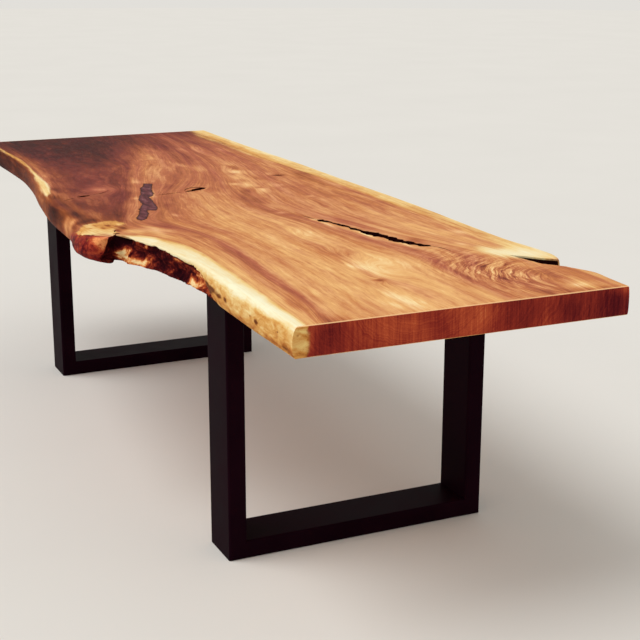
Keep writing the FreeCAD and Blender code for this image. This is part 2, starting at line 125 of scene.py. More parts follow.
# Rings down a crack's walls: share of its depth and of its width. Its sides: how far they lie from
# its middle, in openings, with the strengths of the coarse and the fine noise on that and the cells
# of the noise; the distance between points along it, and the least opening.
CRACK_WALL = ((0.03, 0.99), (0.3, 0.92), (0.65, 0.8), (1.0, 0.55))
CRACK_WIDTH, CRACK_COARSE, CRACK_FINE = 1.1, 0.45, 0.25
CRACK_CELLS = {"left": 0.013, "right": 0.015, "fine": 0.006}
CRACK_SPACING, CRACK_LEAST = 0.0032, 0.0005

# Grain lines: each follows one growth line of the board. The first value numbers the growth line
# (millimetres from the middle of the tree's figure); the pairs are x and y along it in millimetres.
GRAIN_LINES = [
    (-420, [
        (-1440, -383), (-1100, -374), (-820, -381), (-590, -403), (-400, -432), (-115, -465),
        (140, -480), (280, -500), (380, -505), (460, -450), (520, -405), (600, -375), (700, -358),
        (800, -346), (900, -342), (1100, -346), (1440, -353),
    ]),
    (-345, [
        (-1440, -315), (-1100, -310), (-800, -318), (-590, -335), (-400, -358), (-100, -395),
        (140, -415), (300, -425), (380, -405), (430, -388), (500, -345), (600, -303), (700, -290),
        (850, -291), (1100, -302), (1440, -320),
    ]),
    (-290, [
        (-1440, -50), (-1200, -60), (-900, -90), (-600, -115), (-400, -160), (-200, -225), (0, -280),
        (250, -350), (330, -360), (400, -335), (500, -277), (600, -262), (700, -258), (1000, -272),
        (1330, -293), (1440, -303),
    ]),
    (-210, [
        (-1440, 165), (-1200, 140), (-900, 80), (-650, 20), (-450, -50), (-298, -100), (0, -190),
        (150, -240), (260, -296), (330, -285), (400, -250), (480, -222), (560, -210), (700, -216),
        (1000, -236), (1330, -262), (1440, -285),
    ]),
    (-150, [
        (-1440, 215), (-1200, 200), (-900, 160), (-600, 100), (-300, 0), (-100, -100), (100, -165),
        (300, -212), (450, -190), (600, -172), (900, -182), (1200, -200), (1440, -220),
    ]),
    (-50, [
        (-1440, 270), (-1200, 260), (-900, 225), (-600, 170), (-300, 90), (-100, 10), (100, -40),
        (350, -60), (600, -55), (900, -60), (1200, -75), (1440, -90),
    ]),
    (110, [
        (-1440, 320), (-1200, 310), (-900, 280), (-600, 235), (-300, 175), (0, 110), (200, 90),
        (460, 120), (600, 140), (800, 165), (950, 190), (1150, 175), (1440, 165),
    ]),
    (170, [
        (-1440, 350), (-900, 320), (-500, 270), (-200, 210), (200, 145), (460, 156), (600, 188),
        (750, 222), (890, 275), (1000, 285), (1150, 250), (1440, 235),
    ]),
    (270, [
        (-1440, 400), (-900, 380), (-500, 345), (-200, 300), (200, 255), (460, 250), (600, 270),
        (750, 300), (900, 345), (1060, 385), (1200, 360), (1440, 330),
    ]),
    (420, [
        (-1440, 430), (-900, 440), (-500, 435), (-200, 440), (200, 440), (600, 435), (900, 430),
        (1050, 440), (1200, 450), (1440, 450),
    ]),
    (500, [(-1440, 512), (-500, 515), (500, 513), (1050, 515), (1440, 500)]),
]

# Swellings that push the growth lines aside: middle x and y, reach along and across, and lift.
SWELLINGS = np.array([
    (1045, 34, 150, 50, 42), (1160, -12, 24, 15, -20), (1200, 270, 110, 50, 45), (-275, 352, 35, 20, 18),
    (-160, -345, 30, 30, 16), (-110, 5, 60, 35, 30), (-930, 285, 120, 35, 30), (-400, 230, 80, 30, 24),
    (870, 20, 60, 20, 12), (-240, -260, 70, 30, -18), (640, 20, 110, 30, 20),
]) / 1000

# Slow change along the board, partly the heartwood's own tone and partly painted fall-off of light that
# darkens the rear end: x, how light it is and how golden.
TONE_AND_FALLOFF_ALONG = np.array([
    (-140, 37, 20), (-90, 47, 26), (-40, 56, 38), (10, 58, 58), (60, 65, 74), (110, 71, 82), (140, 72, 82),
]) / 100

# Zones of tone, which follow the growth lines: middle x and y, reach along and across the grain,
# how much lighter the wood is there and how much more golden.
TONE_ZONES = np.array([
    (-1250, -160, 500, 120, -20, -5), (-950, -200, 400, 60, -10, -15), (-1100, 270, 450, 80, 13, -10),
    (-900, 100, 400, 35, 14, 20), (-930, 285, 90, 30, 18, 0), (-500, 150, 120, 35, 14, 15),
    (-660, 40, 350, 40, 12, 12), (-500, 250, 450, 80, 15, 25), (-900, -345, 500, 18, 12, 50),
    (-400, -200, 250, 40, -10, -20), (-130, -230, 140, 26, -8, -35), (-315, 325, 30, 12, 15, 0),
    (-390, 240, 50, 18, 20, 5), (-150, 180, 50, 18, 22, 15), (-50, 200, 50, 20, 18, 10),
    (-110, 260, 50, 15, 16, 10), (-260, 190, 40, 15, 14, 5), (-50, 150, 40, 15, -15, -10),
    (-100, -145, 60, 10, 15, 30), (-400, 400, 600, 50, 15, 40), (0, -400, 350, 40, -6, 0),
    (20, 40, 160, 50, 5, 15), (200, -60, 300, 40, 10, 25), (250, 100, 250, 30, -8, -20),
    (120, -330, 220, 22, -16, -35), (870, -217, 600, 24, -8, -58), (370, -270, 100, 24, -9, -40),
    (950, -278, 650, 16, 3, 55), (1040, 35, 100, 35, 14, 5), (1360, -40, 90, 20, 17, 10),
    (1150, 190, 300, 18, -15, -45), (1300, 270, 140, 60, -14, -40), (1050, 280, 120, 30, -6, -35),
    (890, 20, 40, 12, -14, -10), (620, 320, 400, 80, 9, 5), (520, 210, 160, 30, -3, -55),
    (720, 160, 200, 18, -3, -35), (900, -80, 600, 80, 4, 12), (600, -70, 150, 20, 8, 5),
    (620, 20, 120, 25, 8, 5), (300, 200, 300, 60, 6, 0), (1150, -140, 200, 20, 5, 5),
    (350, 20, 260, 30, 12, 25), (-1000, 400, 350, 40, 12, 25), (150, 360, 250, 40, -8, 0),
    (1260, 385, 70, 50, -12, -15),
]) / (1000, 1000, 1000, 1000, 100, 100)

# Touches of colour, listed one by one: middle x, y and z and reach along each axis in millimetres, and
# strength in hundredths. They are grouped by the surface field that they change. A touch of five
# numbers lies on the top face: it leaves out z and the reach up and down, which are TOP_TOUCH.
TOUCH_PARTS = np.array([1000, 1000, 1000, 1000, 1000, 1000, 100])
TOP_TOUCH = 762, 20
TOUCHES = {
    "light": [
        (-250, -272, 45, 44, 22), (190, -482, 760, 40, 30, 30, 24), (120, -477, 728, 30, 30, 32, 34),
        (700, 186, 60, 7, 26), (840, 225, 50, 6, 20), (540, 150, 60, 7, 22), (455, 145, 12, 12, 24),
        (1155, -12, 14, 14, -34), (-275, 350, 20, 20, -20), (-133, -180, 60, 40, -5),
        (-60, -216, 18, 12, 14), (-95, -163, 10, 14, 30), (-40, 30, 40, 60, 6), (-340, -120, 30, 20, 16),
        (-55, -470, 732, 110, 35, 40, -28), (1376, 380, 18, 24, 18), (-125, -10, 20, 30, -8),
        (300, -330, 60, 12, -10), (160, -330, 50, 20, -10), (390, -520, 725, 60, 50, 25, -18),
        (455, -465, 735, 25, 30, 30, 12), (350, -510, 699, 140, 50, 13, -34),
        (120, -445, 764, 90, 26, 12, -44), (-60, -438, 764, 80, 20, 12, -20),
        (-170, -432, 762, 50, 18, 12, -28), (215, -432, 764, 35, 30, 14, -30), (1430, -245, 50, 30, -20),
        (1030, 2, 30, 16, 10), (-650, 23, 90, 30, -10), (-280, -340, 60, 50, -10),
        (1300, -46, 60, 14, 8), (960, 7, 40, 12, 6), (-230, 432, 140, 24, -10),
        (1270, 450, 120, 40, -10), (0, -380, 110, 35, -15), (-390, -375, 60, 14, -8),
        (-235, 195, 40, 20, -12), (460, 223, 80, 24, -11), (1405, 300, 30, 40, -14),
        (1425, 380, 16, 90, -14), (1285, -62, 60, 12, 10), (-1180, 375, 100, 30, 8),
        (-363, 223, 20, 12, -18), (-500, 268, 50, 14, -26), (-250, 258, 60, 14, -14),
        (-83, 202, 15, 12, -22), (-175, 152, 20, 14, 26), (325, 100, 18, 16, 24), (230, 105, 60, 18, 17),
        (1000, -10, 30, 12, 20), (1143, -13, 12, 10, 12), (1235, 18, 30, 15, 11),
        (1365, -82, 40, 12, 14), (807, 272, 30, 20, -18), (912, 215, 20, 10, -10),
        (1110, 384, 30, 20, -8), (1278, -276, 60, 14, -15), (400, -350, 35, 45, 22),
        (430, -268, 30, 28, 13), (-30, 452, 90, 16, 23), (-168, 450, 50, 14, 15),
        (-200, 410, 220, 16, -20), (240, -466, 760, 30, 24, 20, -26), (352, -376, 22, 9, -34),
        (425, -305, 70, 16, 20), (234, -188, 30, 12, 24), (-611, 118, 50, 14, 20),
        (-992, 132, 60, 20, 14), (-947, 234, 60, 20, 13), (-300, -399, 50, 12, -26),
        (-456, -295, 60, 20, -12), (378, -398, 18, 9, -30), (120, 461, 80, 12, 18),
        (765, 434, 35, 20, 22), (900, 354, 20, 15, 14), (-900, 375, 60, 20, 14), (-560, 434, 80, 12, 16),
        (-450, 261, 30, 14, -20), (-430, 308, 30, 12, -12), (120, 284, 15, 12, 18),
        (-100, 277, 20, 12, 15), (-200, 383, 50, 16, -10),
    ],
    "warm": [
        (190, -482, 750, 50, 30, 30, 10), (-350, -425, 760, 300, 16, 30, 55), (-60, -216, 20, 12, 25),
        (455, -465, 730, 30, 30, 40, 40), (290, -400, 100, 60, 20), (20, -378, 110, 35, -30),
        (-55, -470, 730, 110, 35, 50, -60),
    ],
    "sap": [
        (1055, 445, 762, 70, 60, 100, 120), (985, 380, 70, 30, 80), (298, -438, 50, 42, 95),
        (262, -385, 35, 26, 95), (345, -440, 60, 60, 95), (288, -366, 22, 14, 70),
        (425, -322, 60, 20, 45), (215, -412, 26, 20, -80), (385, -500, 762, 50, 30, 8, 90),
        (238, -464, 760, 28, 26, 20, -90), (284, -482, 758, 18, 12, 20, -45),
        (322, -496, 751, 20, 10, 8, 60), (397, -418, 18, 12, 55), (352, -376, 20, 8, -50),
        (440, -355, 28, 10, 40), (378, -398, 18, 9, -55), (1330, 490, 762, 70, 30, 50, 50),
        (1410, 410, 20, 50, 50), (-780, 438, 280, 24, 50), (-1220, 425, 140, 28, 45),
        (-900, 457, 400, 14, 28), (-200, 462, 350, 14, 34), (300, 462, 200, 14, 28),
    ],
    "sap_light": [
        (1055, 430, 80, 70, 42), (985, 380, 60, 30, 25), (320, -450, 100, 60, -22),
        (-380, -415, 200, 30, -14), (-1000, -370, 350, 30, -42), (325, -490, 40, 22, -24),
        (302, -403, 10, 8, -30), (331, -426, 14, 6, -34), (318, -456, 8, 10, -34),
        (324, -386, 12, 6, -30), (290, -437, 18, 6, -26), (283, -466, 20, 8, -20),
        (292, -372, 12, 8, 24), (360, -405, 20, 12, 26), (1150, -315, 350, 30, 10),
        # The touch at 760 high along the front half of the burled edge, (1150, -336, 760), is a painted
        # highlight on its rounded shoulder.
        (1150, -336, 760, 320, 14, 10, 24), (640, -300, 120, 30, 8), (500, -350, 80, 20, 12),
        (1430, -340, 702, 60, 40, 12, -25), (1290, -350, 700, 80, 40, 10, -20),
        (1100, -345, 700, 80, 40, 10, -24), (980, -345, 712, 60, 40, 10, -20),
        (-520, -425, 757, 160, 16, 20, -25), (600, -322, 90, 12, -20), (1050, -312, 100, 10, -14),
        (1270, -316, 60, 10, -26),
    ],
    "rust": [
        (310, -520, 722, 90, 60, 28, 130), (380, -520, 715, 70, 50, 26, 100),
        (820, -345, 726, 60, 40, 18, 80), (900, -345, 706, 60, 40, 14, 70), (-700, -375, 500, 20, 35),
        (430, -490, 700, 70, 60, 22, 130), (100, -490, 712, 120, 40, 30, 50),
    ],
    "rust_light": [
        (452, -458, 758, 22, 30, 16, 42), (440, -480, 752, 16, 14, 10, 20),
        (400, -505, 704, 120, 60, 12, -22), (330, -510, 730, 30, 40, 20, -14),
        (420, -500, 728, 30, 30, 14, -12), (370, -510, 752, 40, 20, 8, 16),
        (462, -470, 750, 20, 16, 14, 36), (461, -460, 736, 14, 14, 9, 34),
        (322, -496, 751, 20, 10, 8, 30), (430, -484, 760, 16, 12, 8, 14),
    ],
    "stain": [
        (361, -498, 753, 6, 6, 5, 140), (406, -474, 760, 6, 5, 6, 120), (435, -482, 755, 6, 6, 5, 120),
        (412, -411, 760, 12, 10, 10, 120), (312, -497, 750, 6, 6, 6, 100), (385, -490, 757, 5, 5, 5, 90),
        (898, -340, 728, 26, 40, 8, 120), (950, -342, 727, 30, 40, 8, 110),
        (925, -342, 716, 24, 40, 7, 90), (1000, -344, 722, 22, 40, 7, 100),
        (1042, -346, 724, 16, 40, 8, 90), (870, -340, 716, 30, 40, 6, 60),
        (1201, -349, 725, 7, 40, 4, 80), (1236, -349, 722, 12, 40, 7, 140),
        (1355, -350, 731, 7, 40, 4, 80), (1426, -350, 744, 8, 40, 6, 50),
        (403, -508, 757, 6, 10, 6, 110), (300, -470, 759, 6, 10, 10, 60), (340, -492, 758, 5, 8, 10, 80),
        (385, -505, 756, 4, 6, 6, 70), (425, -495, 755, 5, 8, 6, 80), (400, -512, 740, 8, 10, 4, 60),
        (340, -512, 735, 4, 20, 12, 60), (1400, -350, 708, 32, 40, 11, 80),
        (1330, -350, 704, 40, 40, 8, 50), (1300, 430, 30, 6, 25), (-140, -420, 50, 6, 30),
        (1435, -336, 742, 20, 5, 6, 55), (1435, -322, 715, 20, 10, 10, 35),
    ],
    "bark_light": [
        (446, -412, 713, 26, 20, 14, 55), (485, -405, 703, 40, 50, 12, 52),
        (505, -400, 707, 18, 50, 12, 40), (535, -380, 703, 26, 50, 10, 60),
        (473, -408, 726, 10, 50, 7, 45), (484, -408, 720, 8, 50, 6, -60),
        (700, -356, 742, 30, 40, 6, 40), (765, -350, 736, 24, 40, 6, 30),
        (800, -336, 703, 36, 40, 12, 80), (640, -362, 750, 20, 40, 6, 25),
        (600, -372, 735, 30, 50, 16, -25), (455, -420, 748, 30, 50, 14, -55),
        (700, -356, 706, 40, 40, 14, -25), (840, -345, 732, 50, 40, 16, 30),
        (880, -343, 708, 50, 40, 12, 35), (620, -365, 700, 30, 50, 8, 15),
    ],
    "end_light": [
        (1435, -272, 730, 20, 34, 50, -20), (1435, -130, 730, 20, 100, 50, 7),
        (1435, 80, 730, 20, 45, 50, 18), (1435, 190, 740, 20, 45, 60, -18),
        (1435, 300, 730, 20, 60, 50, -12), (1435, 430, 720, 20, 90, 60, -28),
        (1435, 470, 755, 20, 30, 10, 20), (1435, -85, 738, 20, 20, 10, 8),
    ],
}

# Crest of the near edge's rear part, thin sapwood with a painted highlight: x and y along it, half width
# and strength.
CREST_SAP_AND_HIGHLIGHT = np.array([
    (-1440, -371, 4, 5), (-1210, -369, 4, 6), (-1100, -366, 5, 7), (-950, -364, 5, 7),
    (-760, -372, 6, 6), (-630, -385, 7, 8), (-530, -397, 10, 11), (-420, -408, 14, 12),
    (-330, -422, 13, 12), (-250, -436, 9, 11), (-200, -445, 5, 2), (-150, -450, 5, 0),
]) / (1000, 1000, 1000, 10)
CREST_RISE = 0.735, 0.752           # the heights between which the ridge comes in

# Dents and bumps of the pocket and of the burl: x, height share, reach along and up, and depth.
DENT_PARTS = (1000, 100, 1000, 100, 1000)
POCKET_DENTS = np.array([
    (462, 82, 30, 16, 14), (600, 78, 35, 12, 7), (490, 10, 28, 22, -8), (520, 60, 20, 20, 5),
    (690, 30, 50, 22, 8), (488, 32, 26, 16, -8), (548, 22, 20, 14, -4), (760, 42, 45, 20, 5),
    (845, 30, 40, 20, 4), (630, 55, 22, 10, -4),
]) / DENT_PARTS
BURL_DENTS = np.array([
    (330, 90, 80, 5, 6), (300, 45, 50, 25, -4), (455, 22, 40, 14, 14),
]) / DENT_PARTS

# How high the bark reaches up the pocket: x and height share.
BARK_CEILING = np.array([
    (420, 97), (460, 93), (600, 93), (700, 90), (800, 78), (860, 62), (930, 25), (1000, -10),
]) / (1000, 100)

# Noise on the outline: strength, cell, stretch of its lattice, seed and layers. Strengths are in
# metres, but for the bark ceiling's, which is a height share.
ROUGHNESS = {
    "ceiling": (0.09, 0.035, (1, 0.2, 0.3), 21, 3),
    "waves": (0.0012, 0.09, (0.6, 0.6, 1.0), 1, 3),
    "ripples": (0.0005, 0.012, (0.35, 0.35, 1.6), 5, 3),
    "lumps": (0.0030, 0.035, (1, 1, 1), 31, 3),
    "crags": (0.0065, 0.030, (0.7, 0.7, 1.0), 41, 4),
    "pits": (0.004, 0.011, (1, 1, 1), 51, 3),
    "split": (0.0022, 0.012, (1, 1, 0.25), 61, 3),
}
BARK_DEPTH = 0.0045                 # how far the bark lies behind the pocket's own surface
INSET = 0.0005                      # how far the natural edges stay inside the solid's box

# The fold between burl and pocket, seen from above: y = -(slope * x + place), further out by the
# lean at the bottom face.
FOLD_SLOPE, FOLD_PLACE, FOLD_LEAN = 0.462, 0.2345, 0.026
FOLD_FOOT = 0.455, 0.03             # x and reach of the calm place at the fold's foot

# The pale top of the burl, round which its wood is rust red, and the curled figure by the split:
# middle x and y, reach along and across.
BURL_FACE = 0.33, -0.42, 0.112, 0.076
CURL = 1.19, 0.275, 0.20, 0.090

# Parts of the top where the mesh is finer: middle x and y, reach along and across.
FINE_PATCHES = np.array([
    (-12, -1, 7, 7), (-2, -20, 32, 6), (32, -43, 11, 9), (-16, -33, 9, 9), (115, -1, 6, 5),
    (-27, 35, 5, 4), (70, 19, 26, 7),
]) / 100
FINER = 2.4                         # how many times finer it is there
RIM_GAP, FINE_RIM_GAP = 0.55, 0.22  # least gap to a rim, outside and in the patches, in spacings
SHAKE = 0.12                        # how far the points of a grid are shaken, in spacings

# Distances between points along the outline, on the bottom, on the resin and round the hole, and
# steps along the sawn ends, on each stretch of the split's walls and round a bore.
OUTLINE_FINE, OUTLINE_POCKET, OUTLINE_PLAIN, OUTLINE_REAR = 0.003, 0.004, 0.007, 0.008
BOTTOM_SPACING, RESIN_SPACING, VOID_SPACING = 0.030, 0.0035, 0.003
FRONT_END_STEPS, REAR_END_STEPS, SPLIT_STEPS, BORE_STEPS = 76, 64, 8, 24

# Heights of the outline's rows, as shares of the thickness.
ROW_HEIGHTS = np.array([
    0, 12, 30, 55, 90, 140, 200, 270, 340, 410, 480, 550, 620, 690, 750, 810, 860, 905, 940, 968,
    988, 1000,
]) / 1000

# Sections of the outline's loop, in order.
NEAR, POCKET, FRONT_END, FAR_FRONT, SPLIT_IN, SPLIT_OUT, FAR_REAR, REAR_END = range(8)

VOID_RAGGED = 0.0026                # how far noise moves the hole's outline
RIM_FADE = 0.004                    # distance over which the resin's dark rim fades
TOP_SEED, BOTTOM_SEED, RESIN_SEED, VOID_SEED, CRACK_SEED = 7, 8, 9, 71, 81
NOISE_HASH = (73856093, 19349663, 83492791)
NOISE_VALUES = 4096                 # random values behind the lattice noise, a power of two
CHUNK = 4000                        # points compared with whole loops at one time
CURVE_STEPS = 40                    # steps between two table points when a curve is measured
SAME_PLACE = 1e-7                   # distance within which two points of a face would be one
TUCK_FADE, ARRIS_SHARE = 0.085, 0.03    # height shares over which the tuck and the arris fade


def cubic(u, span, start, end, slope_start, slope_end):
    """The cubic over a stretch of a given span from its end values and end slopes, at shares u."""
    return (
        start * (1 + 2 * u) * (1 - u) ** 2 + end * u * u * (3 - 2 * u)
        + span * u * (1 - u) * (slope_start * (1 - u) - slope_end * u)
    )


def hermite(knots, values, at):
    """A smooth curve through values at knots, as the cubic on each stretch whose end slopes are the
    weighted means of the straight slopes on either side."""
    knots, values, at = np.asarray(knots), np.asarray(values), np.asarray(at)
    if values.ndim == 1:
        return hermite(knots, values[:, None], at)[:, 0]
    step = np.diff(knots)[:, None]
    chord = np.diff(values, axis=0) / step
    slope = np.empty_like(values)
    slope[1:-1] = (chord[:-1] * step[1:] + chord[1:] * step[:-1]) / (step[:-1] + step[1:])
    slope[0] = 1.5 * chord[0] - 0.5 * slope[1]
    slope[-1] = 1.5 * chord[-1] - 0.5 * slope[-2]
    k = np.clip(np.searchsorted(knots, at, side="right") - 1, 0, len(knots) - 2)
    u = (at - knots[k])[:, None] / step[k]
    return cubic(u, step[k], values[k], values[k + 1], slope[k], slope[k + 1])


def run_along(points):
    """Distance run along a polyline at each of its points."""
    return np.r_[0, np.cumsum(np.linalg.norm(np.diff(points, axis=0), axis=1))]


def root_chord_knots(points):
    """Curve parameters that grow by the square root of the distance between points."""
    return np.r_[0, np.cumsum(np.sqrt(np.linalg.norm(np.diff(points, axis=0), axis=1)))]


def smoothstep(low, high, x):
    """0 below low, 1 above high and a cubic ease between."""
    u = np.clip((x - low) / (high - low), 0, 1)
    return u * u * (3 - 2 * u)


def bell(x, y, mid_x, mid_y, along, across):
    """1 in the middle and falling as the exponential of minus the squared reach on both axes."""
    return np.exp(-((x - mid_x) / along) ** 2 - ((y - mid_y) / across) ** 2)


def lattice_noise(points, cell, seed):
    """Smooth noise from -1 to 1: random values on a cubic lattice of the given cell, blended with
    quintic weights between the eight corners round each point."""
    table = np.random.default_rng(seed).uniform(-1, 1, NOISE_VALUES)
    p = np.asarray(points) / cell
    base = np.floor(p).astype(np.int64)
    f = p - base
    f = f ** 3 * (f * (f * 6 - 15) + 10)
    total = np.zeros(len(p))
    for corner in np.ndindex(2, 2, 2):
        index = np.bitwise_xor.reduce((base + corner) * NOISE_HASH, axis=1) & (NOISE_VALUES - 1)
        total += np.prod(np.where(corner, f, 1 - f), axis=1) * table[index]
    return total


def layered_noise(points, cell, seed, layers=3):
    """Lattice noise added to itself at half the cell and half the strength, layer after layer."""
    return sum(
        lattice_noise(points, cell / 2 ** k, seed + k) / 2 ** k for k in range(layers)
    ) / (2 - 2 ** (1 - layers))


def roughness(kind, points):
    """One kind of noise on the outline: layered noise on its stretched lattice by its strength."""
    strength, cell, stretch, seed, layers = ROUGHNESS[kind]
    return strength * layered_noise(points * stretch, cell, seed, layers)


class Shell:
    """Vertices and faces gathered as arrays, then put into one mesh."""

    def __init__(self):
        self.points, self.marks, self.quads, self.tris, self.count = [], [], [], [], 0

    def add_points(self, points, **marks):
        """Adds points with their marks (one value or an array each); returns their numbers."""
        self.points.append(points)
        self.marks.append(marks)
        start, self.count = self.count, self.count + len(points)
        return np.arange(start, self.count)

    def add_band(self, low, high, closed=True):
        """Quads between two equally long rows of point numbers, low row first."""
        if closed:
            low, high = np.r_[low, low[:1]], np.r_[high, high[:1]]
        self.quads.append(np.stack([low[:-1], low[1:], high[1:], high[:-1]], axis=1))

    def add_tris(self, tris):
        """Triangles of point numbers."""
        self.tris.append(np.asarray(tris))

    def mark(self, name):
        """One mark for all points, 0 where a group of points has none."""
        rows = zip(self.points, self.marks)
        return np.concatenate([np.broadcast_to(m.get(name, 0.0), len(p)) for p, m in rows])

    def build(self, name, sharp_angle=40):
        """Makes the mesh object, smooth but for edges sharper than the angle in degrees."""
        points = np.concatenate(self.points)
        quads = np.concatenate(self.quads) if self.quads else np.empty((0, 4), int)
        tris = np.concatenate(self.tris)
        mesh = bpy.data.meshes.new(name)
        mesh.vertices.add(len(points))
        mesh.vertices.foreach_set("co", points.ravel())
        mesh.loops.add(quads.size + tris.size)
        mesh.loops.foreach_set("vertex_index", np.r_[quads.ravel(), tris.ravel()])
        totals = np.r_[np.full(len(quads), 4), np.full(len(tris), 3)]
        mesh.polygons.add(len(totals))
        mesh.polygons.foreach_set("loop_start", np.r_[0, np.cumsum(totals)[:-1]])
        mesh.polygons.foreach_set("use_smooth", np.ones(len(totals), bool))
        mesh.update(calc_edges=True)
        if mesh.validate():
            raise RuntimeError(f"{name} had broken faces")
        mesh.set_sharp_from_angle(angle=math.radians(sharp_angle))
        thing = bpy.data.objects.new(name, mesh)
        bpy.context.scene.collection.objects.link(thing)
        return thing


def set_attribute(mesh, name, values):
    """Stores one number or one vector per vertex under a name that materials read."""
    kind, field = ("FLOAT", "value") if values.ndim == 1 else ("FLOAT_VECTOR", "vector")
    attribute = mesh.attributes.new(name, kind, "POINT")
    attribute.data.foreach_set(field, values.astype(np.float32).ravel())


def board_size(board):
    """The board's length and width as an array."""
    return np.array((board.length, board.width))


def at_height(flat, height):
    """Flat points lifted to one height."""
    return np.column_stack([flat, np.full(len(flat), height)])


def edge_profile(height):
    """How the natural edge leans at a height share: the tuck fades upwards as an exponential, the
    roll is a quarter ellipse over the upper half and the scoop is half a sine wave."""
    tuck = math.exp(-height / TUCK_FADE)
    roll = 1 - math.sqrt(1 - max(0.0, (height - 0.5) / 0.5) ** 2)
    scoop = math.sin(math.pi * height ** 0.9)
    return tuck, roll, scoop


def end_bevel(height):
    """Share of the arris at a height share: full at the faces, falling evenly to none inside."""
    return 1 - min(1.0, min(height, 1 - height) / ARRIS_SHARE)


def natural_edge(board, shares, height, stations):
    """Points along one natural edge at a height share. Each table point moves inward by tuck, roll
    and scoop times its own weights, and a smooth curve runs through them."""
    tuck, roll, scoop = edge_profile(height)
    inward = (
        tuck * board.edge_tuck * shares[:, 2] + roll * board.edge_round * shares[:, 3]
        + scoop * board.pocket_deep * shares[:, 4]
    )
    points = shares[:, :2] * board_size(board)
    points[:, 1] -= np.copysign(inward, points[:, 1])
    end = board.length / 2 - board.end_arris * end_bevel(height)
    points[:, 0] = np.clip(points[:, 0], -end, end)
    knots = root_chord_knots(points)
    return hermite(knots, points, np.interp(stations, np.arange(len(points)), knots))


def spaced_stations(board, shares, spacing, first=0, last=None):
    """Station numbers between two table points whose curve points lie about a spacing apart. The
    spacing is a distance or a function of x."""
    last = len(shares) - 1 if last is None else last
    points = shares[:, :2] * board_size(board)
    fine = np.linspace(first, last, CURVE_STEPS * (last - first) + 1)
    knots = root_chord_knots(points)
    line = hermite(knots, points, np.interp(fine, np.arange(len(points)), knots))
    step = np.broadcast_to(spacing(line[:, 0]) if callable(spacing) else spacing, len(line))
    count = np.r_[0, np.cumsum(np.diff(run_along(line)) / step[1:])]
    whole = max(2, round(count[-1]))
    return np.interp(np.linspace(0, count[-1], whole + 1), count, fine)


def straight(start, end, steps):
    """Points on a straight line in even steps, without its two ends."""
    return start + (end - start) * np.linspace(0, 1, steps + 1)[1:-1, None]


def divided(points, steps):
    """A polyline with each of its stretches divided into even steps."""
    at = np.linspace(0, len(points) - 1, (len(points) - 1) * steps + 1)
    return np.column_stack([np.interp(at, np.arange(len(points)), axis) for axis in points.T])


def board_rows(board):
    """The board's outline as rows of points, bottom to top: the burled edge, the bark pocket, the
    front end, the far edge broken by the split, and the rear end, anticlockwise from above.
    Returns the rows, an array of rows by points by 3, and each point's section of the loop."""
    near = spaced_stations(board, BURL_EDGE, lambda x: np.where(x > 0.1, OUTLINE_FINE, OUTLINE_PLAIN))
    pocket = spaced_stations(board, POCKET_EDGE, lambda x: np.where(x < 1.0, OUTLINE_FINE, OUTLINE_POCKET))
    far_front = spaced_stations(board, FAR_EDGE, OUTLINE_PLAIN, 0, MOUTH_FRONT)
    far_rear = spaced_stations(board, FAR_EDGE, OUTLINE_REAR, MOUTH_REAR)
    front_wall, rear_wall = SPLIT_FRONT_WALL * board_size(board), SPLIT_REAR_WALL * board_size(board)
    rows = []
    for height in ROW_HEIGHTS:
        burl = natural_edge(board, BURL_EDGE, height, near)
        scooped = natural_edge(board, POCKET_EDGE, height, pocket[1:])
        front_far = natural_edge(board, FAR_EDGE, height, far_front)
        rear_far = natural_edge(board, FAR_EDGE, height, far_rear)
        wall_in = divided(np.vstack([front_far[-1:], front_wall]), SPLIT_STEPS)[1:]
        wall_out = divided(np.vstack([front_wall[-1:], rear_wall, rear_far[:1]]), SPLIT_STEPS)[1:-1]
        parts = [
            burl, scooped, straight(scooped[-1], front_far[0], FRONT_END_STEPS), front_far, wall_in,
            wall_out, rear_far, straight(rear_far[-1], burl[0], REAR_END_STEPS),
        ]
        z = height * board.thickness + (board.top_height - board.thickness)
        rows.append(at_height(np.vstack(parts), z))
    return np.array(rows), np.repeat(np.arange(len(parts)), [len(part) for part in parts])


def outward(rows):
    """Horizontal unit normals that point out of an anticlockwise loop, row by row."""
    along = np.roll(rows, -1, axis=1) - np.roll(rows, 1, axis=1)
    normal = np.stack([along[..., 1], -along[..., 0], np.zeros(along.shape[:2])], axis=-1)
    return normal / np.linalg.norm(normal, axis=-1, keepdims=True)


def calm_near(board, points, share, reach):
    """0 at a place given as shares of the board and 1 from a reach away."""
    return smoothstep(0, reach, np.linalg.norm(points[:, :2] - share * board_size(board), axis=1))


